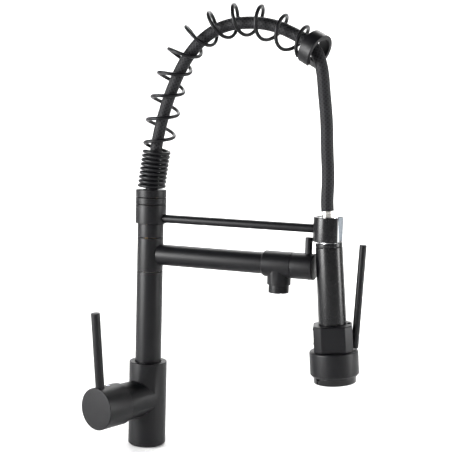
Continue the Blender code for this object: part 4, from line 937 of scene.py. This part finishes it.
def softbox(name, place, aim, size, power, colour=(1, 1, 1)):
    light = bpy.data.lights.new(name, "AREA")
    light.shape = "RECTANGLE"
    light.size, light.size_y = size
    light.energy = power
    light.color = colour
    obj = bpy.data.objects.new(name, light)
    obj.matrix_world = axis_frame(place, Vector(place) - Vector(aim), (Vector(place) - Vector(aim)).cross(UP))
    bpy.context.scene.collection.objects.link(obj)
    obj.visible_camera = False
    obj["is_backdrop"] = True


def studio(choice):
    """A pale floor that curves up all round, soft boxes and the camera."""
    floor = turned("studio_floor", UPRIGHT, [
        (0, -1.0 * MM), (4.2, -1.0 * MM, 1.6), (4.2, 3.6), (4.3, 3.6), (4.3, -0.1), (0, -0.1)], 128)
    paper = Look("studio_paper", tuple(choice.floor_colour), 0.9, 0.0, 0.1)
    weave = paper.noise(6.0, 2.0)
    paper.tint(weave, scaled(tuple(choice.floor_colour), 0.995), tuple(choice.floor_colour))
    dress_stage(floor, paper.made)
    world = bpy.data.worlds.new("studio_air")
    world.use_nodes = True
    air = world.node_tree.nodes["Background"]
    air.inputs["Color"].default_value = (1, 1, 1, 1)
    air.inputs["Strength"].default_value = choice.air_strength
    bpy.context.scene.world = world
    bpy.context.scene.view_settings.view_transform = "Standard"
    middle = (0.11, 0.0, 0.26)
    softbox("left_box", (-1.1, -1.3, 0.42), middle, (0.95, 0.8), choice.left_power)
    softbox("right_box", (1.95, 0.3, 0.5), middle, (0.5, 1.2), choice.right_power)
    softbox("back_box", (-0.3, 1.9, 2.1), (-0.2, 1.3, 0.0), (2.4, 1.2), choice.back_power)
    softbox("wall_box", (-0.6, 2.2, 2.6), (-1.6, 3.9, 0.9), (2.6, 0.9), choice.wall_power)
    view = bpy.data.cameras.new("studio_camera")
    view.sensor_width = 36.0
    view.lens = 81.5
    view.clip_start = 0.05
    view.clip_end = 50.0
    camera = bpy.data.objects.new("studio_camera", view)
    turn, tip, roll = (math.radians(a) for a in (22.947, 5.597, 1.474))
    right = Vector((math.cos(turn), math.sin(turn), 0))
    ahead = Vector((-math.sin(turn) * math.cos(tip), math.cos(turn) * math.cos(tip), -math.sin(tip)))
    above = right.cross(ahead)
    side = right * math.cos(roll) + above * math.sin(roll)
    top = above * math.cos(roll) - right * math.sin(roll)
    back = Vector((math.sin(turn), -math.cos(turn), 0))
    place = back * 1.21028 + right * 0.089514 + Vector((0, 0, 0.38463))
    camera.matrix_world = Matrix.Translation(place) @ Matrix((side, top, -ahead)).transposed().to_4x4()
    bpy.context.scene.collection.objects.link(camera)
    bpy.context.scene.camera = camera


def dress_stage(piece, look):
    piece.data.materials.append(look)
    piece.data.polygons.foreach_set("use_smooth", np.ones(len(piece.data.polygons), dtype=bool))
    piece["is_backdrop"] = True


# ---------------------------------------------------------------- choices, operators and panel


class FaucetLooks(PropertyGroup):
    """What a user would change on the faucet."""

    coat_colour: FloatVectorProperty(
        name="Coat colour", description="Colour of the sprayed coat", subtype="COLOR",
        default=(0.0024, 0.0024, 0.0032))
    coat_roughness: FloatProperty(
        name="Coat roughness", description="How matt the coat is", default=0.42, min=0.1, max=1.0)
    satin_roughness: FloatProperty(
        name="Grip roughness", description="How matt the grip's smoother coat is",
        default=0.27, min=0.1, max=1.0)
    braid_colour: FloatVectorProperty(
        name="Braid colour", description="Colour of the hose's braid", subtype="COLOR",
        default=(0.0035, 0.0035, 0.004))
    braid_strands: IntProperty(
        name="Braid strands", description="Strands each way round the hose", default=10, min=4, max=64)
    braid_pitch: FloatProperty(
        name="Braid pitch", description="Distance along the hose between strands",
        default=4.6 * MM, unit="LENGTH")
    coil_points: IntProperty(
        name="Coil points", description="Points along one turn of the coil", default=48, min=12, max=96)
    wire_sides: IntProperty(
        name="Wire sides", description="Sides round the coil's wire", default=16, min=6, max=32)
    hose_rings: IntProperty(
        name="Hose rings", description="Rings along the hose", default=360, min=60, max=800)


class StudioChoices(PropertyGroup):
    """What a user would change in the studio."""

    floor_colour: FloatVectorProperty(
        name="Floor colour", description="Colour of the floor and backdrop", subtype="COLOR",
        default=(0.98, 0.98, 0.98))
    air_strength: FloatProperty(
        name="Air strength", description="Even light from all round", default=0.1, min=0.0, max=5.0)
    left_power: FloatProperty(
        name="Left box", description="Power of the left soft box", default=75.0, unit="POWER")
    right_power: FloatProperty(
        name="Right box", description="Power of the right soft box", default=38.0, unit="POWER")
    back_power: FloatProperty(
        name="Back box", description="Power of the soft box over the backdrop", default=72.0, unit="POWER")
    wall_power: FloatProperty(
        name="Wall box", description="Power of the soft box on the far wall", default=72.0, unit="POWER")


class FAUCET_OT_materials(Operator):
    """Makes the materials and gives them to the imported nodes"""

    bl_idname = "faucet.materials"
    bl_label = "Materials"

    def execute(self, context):
        make_looks(context.scene.faucet_looks)
        packed_looks()
        return {"FINISHED"}


class FAUCET_OT_base(Operator):
    """Builds the base, the column and the fixed sleeve"""

    bl_idname = "faucet.base"
    bl_label = "Base and column"

    def execute(self, context):
        base_shell()
        return {"FINISHED"}


class FAUCET_OT_lever(Operator):
    """Builds the side lever's cap, pin and dot"""

    bl_idname = "faucet.lever"
    bl_label = "Side lever"

    def execute(self, context):
        lever_shell()
        return {"FINISHED"}


class FAUCET_OT_spout(Operator):
    """Builds the spout, its tee, aerator and valve"""

    bl_idname = "faucet.spout"
    bl_label = "Spout and valve"

    def execute(self, context):
        spout_shell()
        valve_shell()
        return {"FINISHED"}


class FAUCET_OT_dock(Operator):
    """Builds the collar, the arm and the clip"""

    bl_idname = "faucet.dock"
    bl_label = "Docking arm"

    def execute(self, context):
        dock_shell()
        return {"FINISHED"}


class FAUCET_OT_spring(Operator):
    """Builds the coil and its end ring"""

    bl_idname = "faucet.spring"
    bl_label = "Coil"

    def execute(self, context):
        spring_piece(context.scene.faucet_looks)
        end_ring()
        return {"FINISHED"}


class FAUCET_OT_hose(Operator):
    """Builds the braided hose"""

    bl_idname = "faucet.hose"
    bl_label = "Hose"

    def execute(self, context):
        hose_piece(context.scene.faucet_looks)
        return {"FINISHED"}


class FAUCET_OT_head(Operator):
    """Builds the spray head with its trigger and rocker"""

    bl_idname = "faucet.head"
    bl_label = "Spray head"

    def execute(self, context):
        grip_shell()
        block_shell()
        bell_shell()
        trigger_shell()
        rocker_shell()
        return {"FINISHED"}


class FAUCET_OT_studio(Operator):
    """Builds the floor, the lights and the camera"""

    bl_idname = "faucet.studio"
    bl_label = "Studio"

    def execute(self, context):
        studio(context.scene.faucet_studio)
        return {"FINISHED"}


OPERATORS = (FAUCET_OT_materials, FAUCET_OT_base, FAUCET_OT_lever, FAUCET_OT_spout, FAUCET_OT_dock,
             FAUCET_OT_spring, FAUCET_OT_hose, FAUCET_OT_head, FAUCET_OT_studio)


class FAUCET_PT_panel(Panel):
    """Lists the faucet's operators and choices"""

    bl_idname = "FAUCET_PT_panel"
    bl_label = "Faucet"
    bl_space_type = "VIEW_3D"
    bl_region_type = "UI"
    bl_category = "Faucet"

    def draw(self, context):
        for choices in (context.scene.faucet_looks, context.scene.faucet_studio):
            for key in choices.__annotations__:
                self.layout.prop(choices, key)
        for kind in OPERATORS:
            self.layout.operator(kind.bl_idname)


CLASSES = (FaucetLooks, StudioChoices, *OPERATORS, FAUCET_PT_panel)


def register():
    for kind in CLASSES:
        bpy.utils.register_class(kind)
    bpy.types.Scene.faucet_looks = PointerProperty(type=FaucetLooks)
    bpy.types.Scene.faucet_studio = PointerProperty(type=StudioChoices)


def unregister():
    del bpy.types.Scene.faucet_studio
    del bpy.types.Scene.faucet_looks
    for kind in reversed(CLASSES):
        bpy.utils.unregister_class(kind)


def main():
    register()
    bpy.ops.faucet.materials()
    bpy.ops.faucet.base()
    bpy.ops.faucet.lever()
    bpy.ops.faucet.spout()
    bpy.ops.faucet.dock()
    bpy.ops.faucet.spring()
    bpy.ops.faucet.hose()
    bpy.ops.faucet.head()
    bpy.ops.faucet.studio()
    plain = [[[float(v) for v in corner] for corner in box] for box in (CAD_BOX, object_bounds())]


if __name__ == "__main__":
    main()
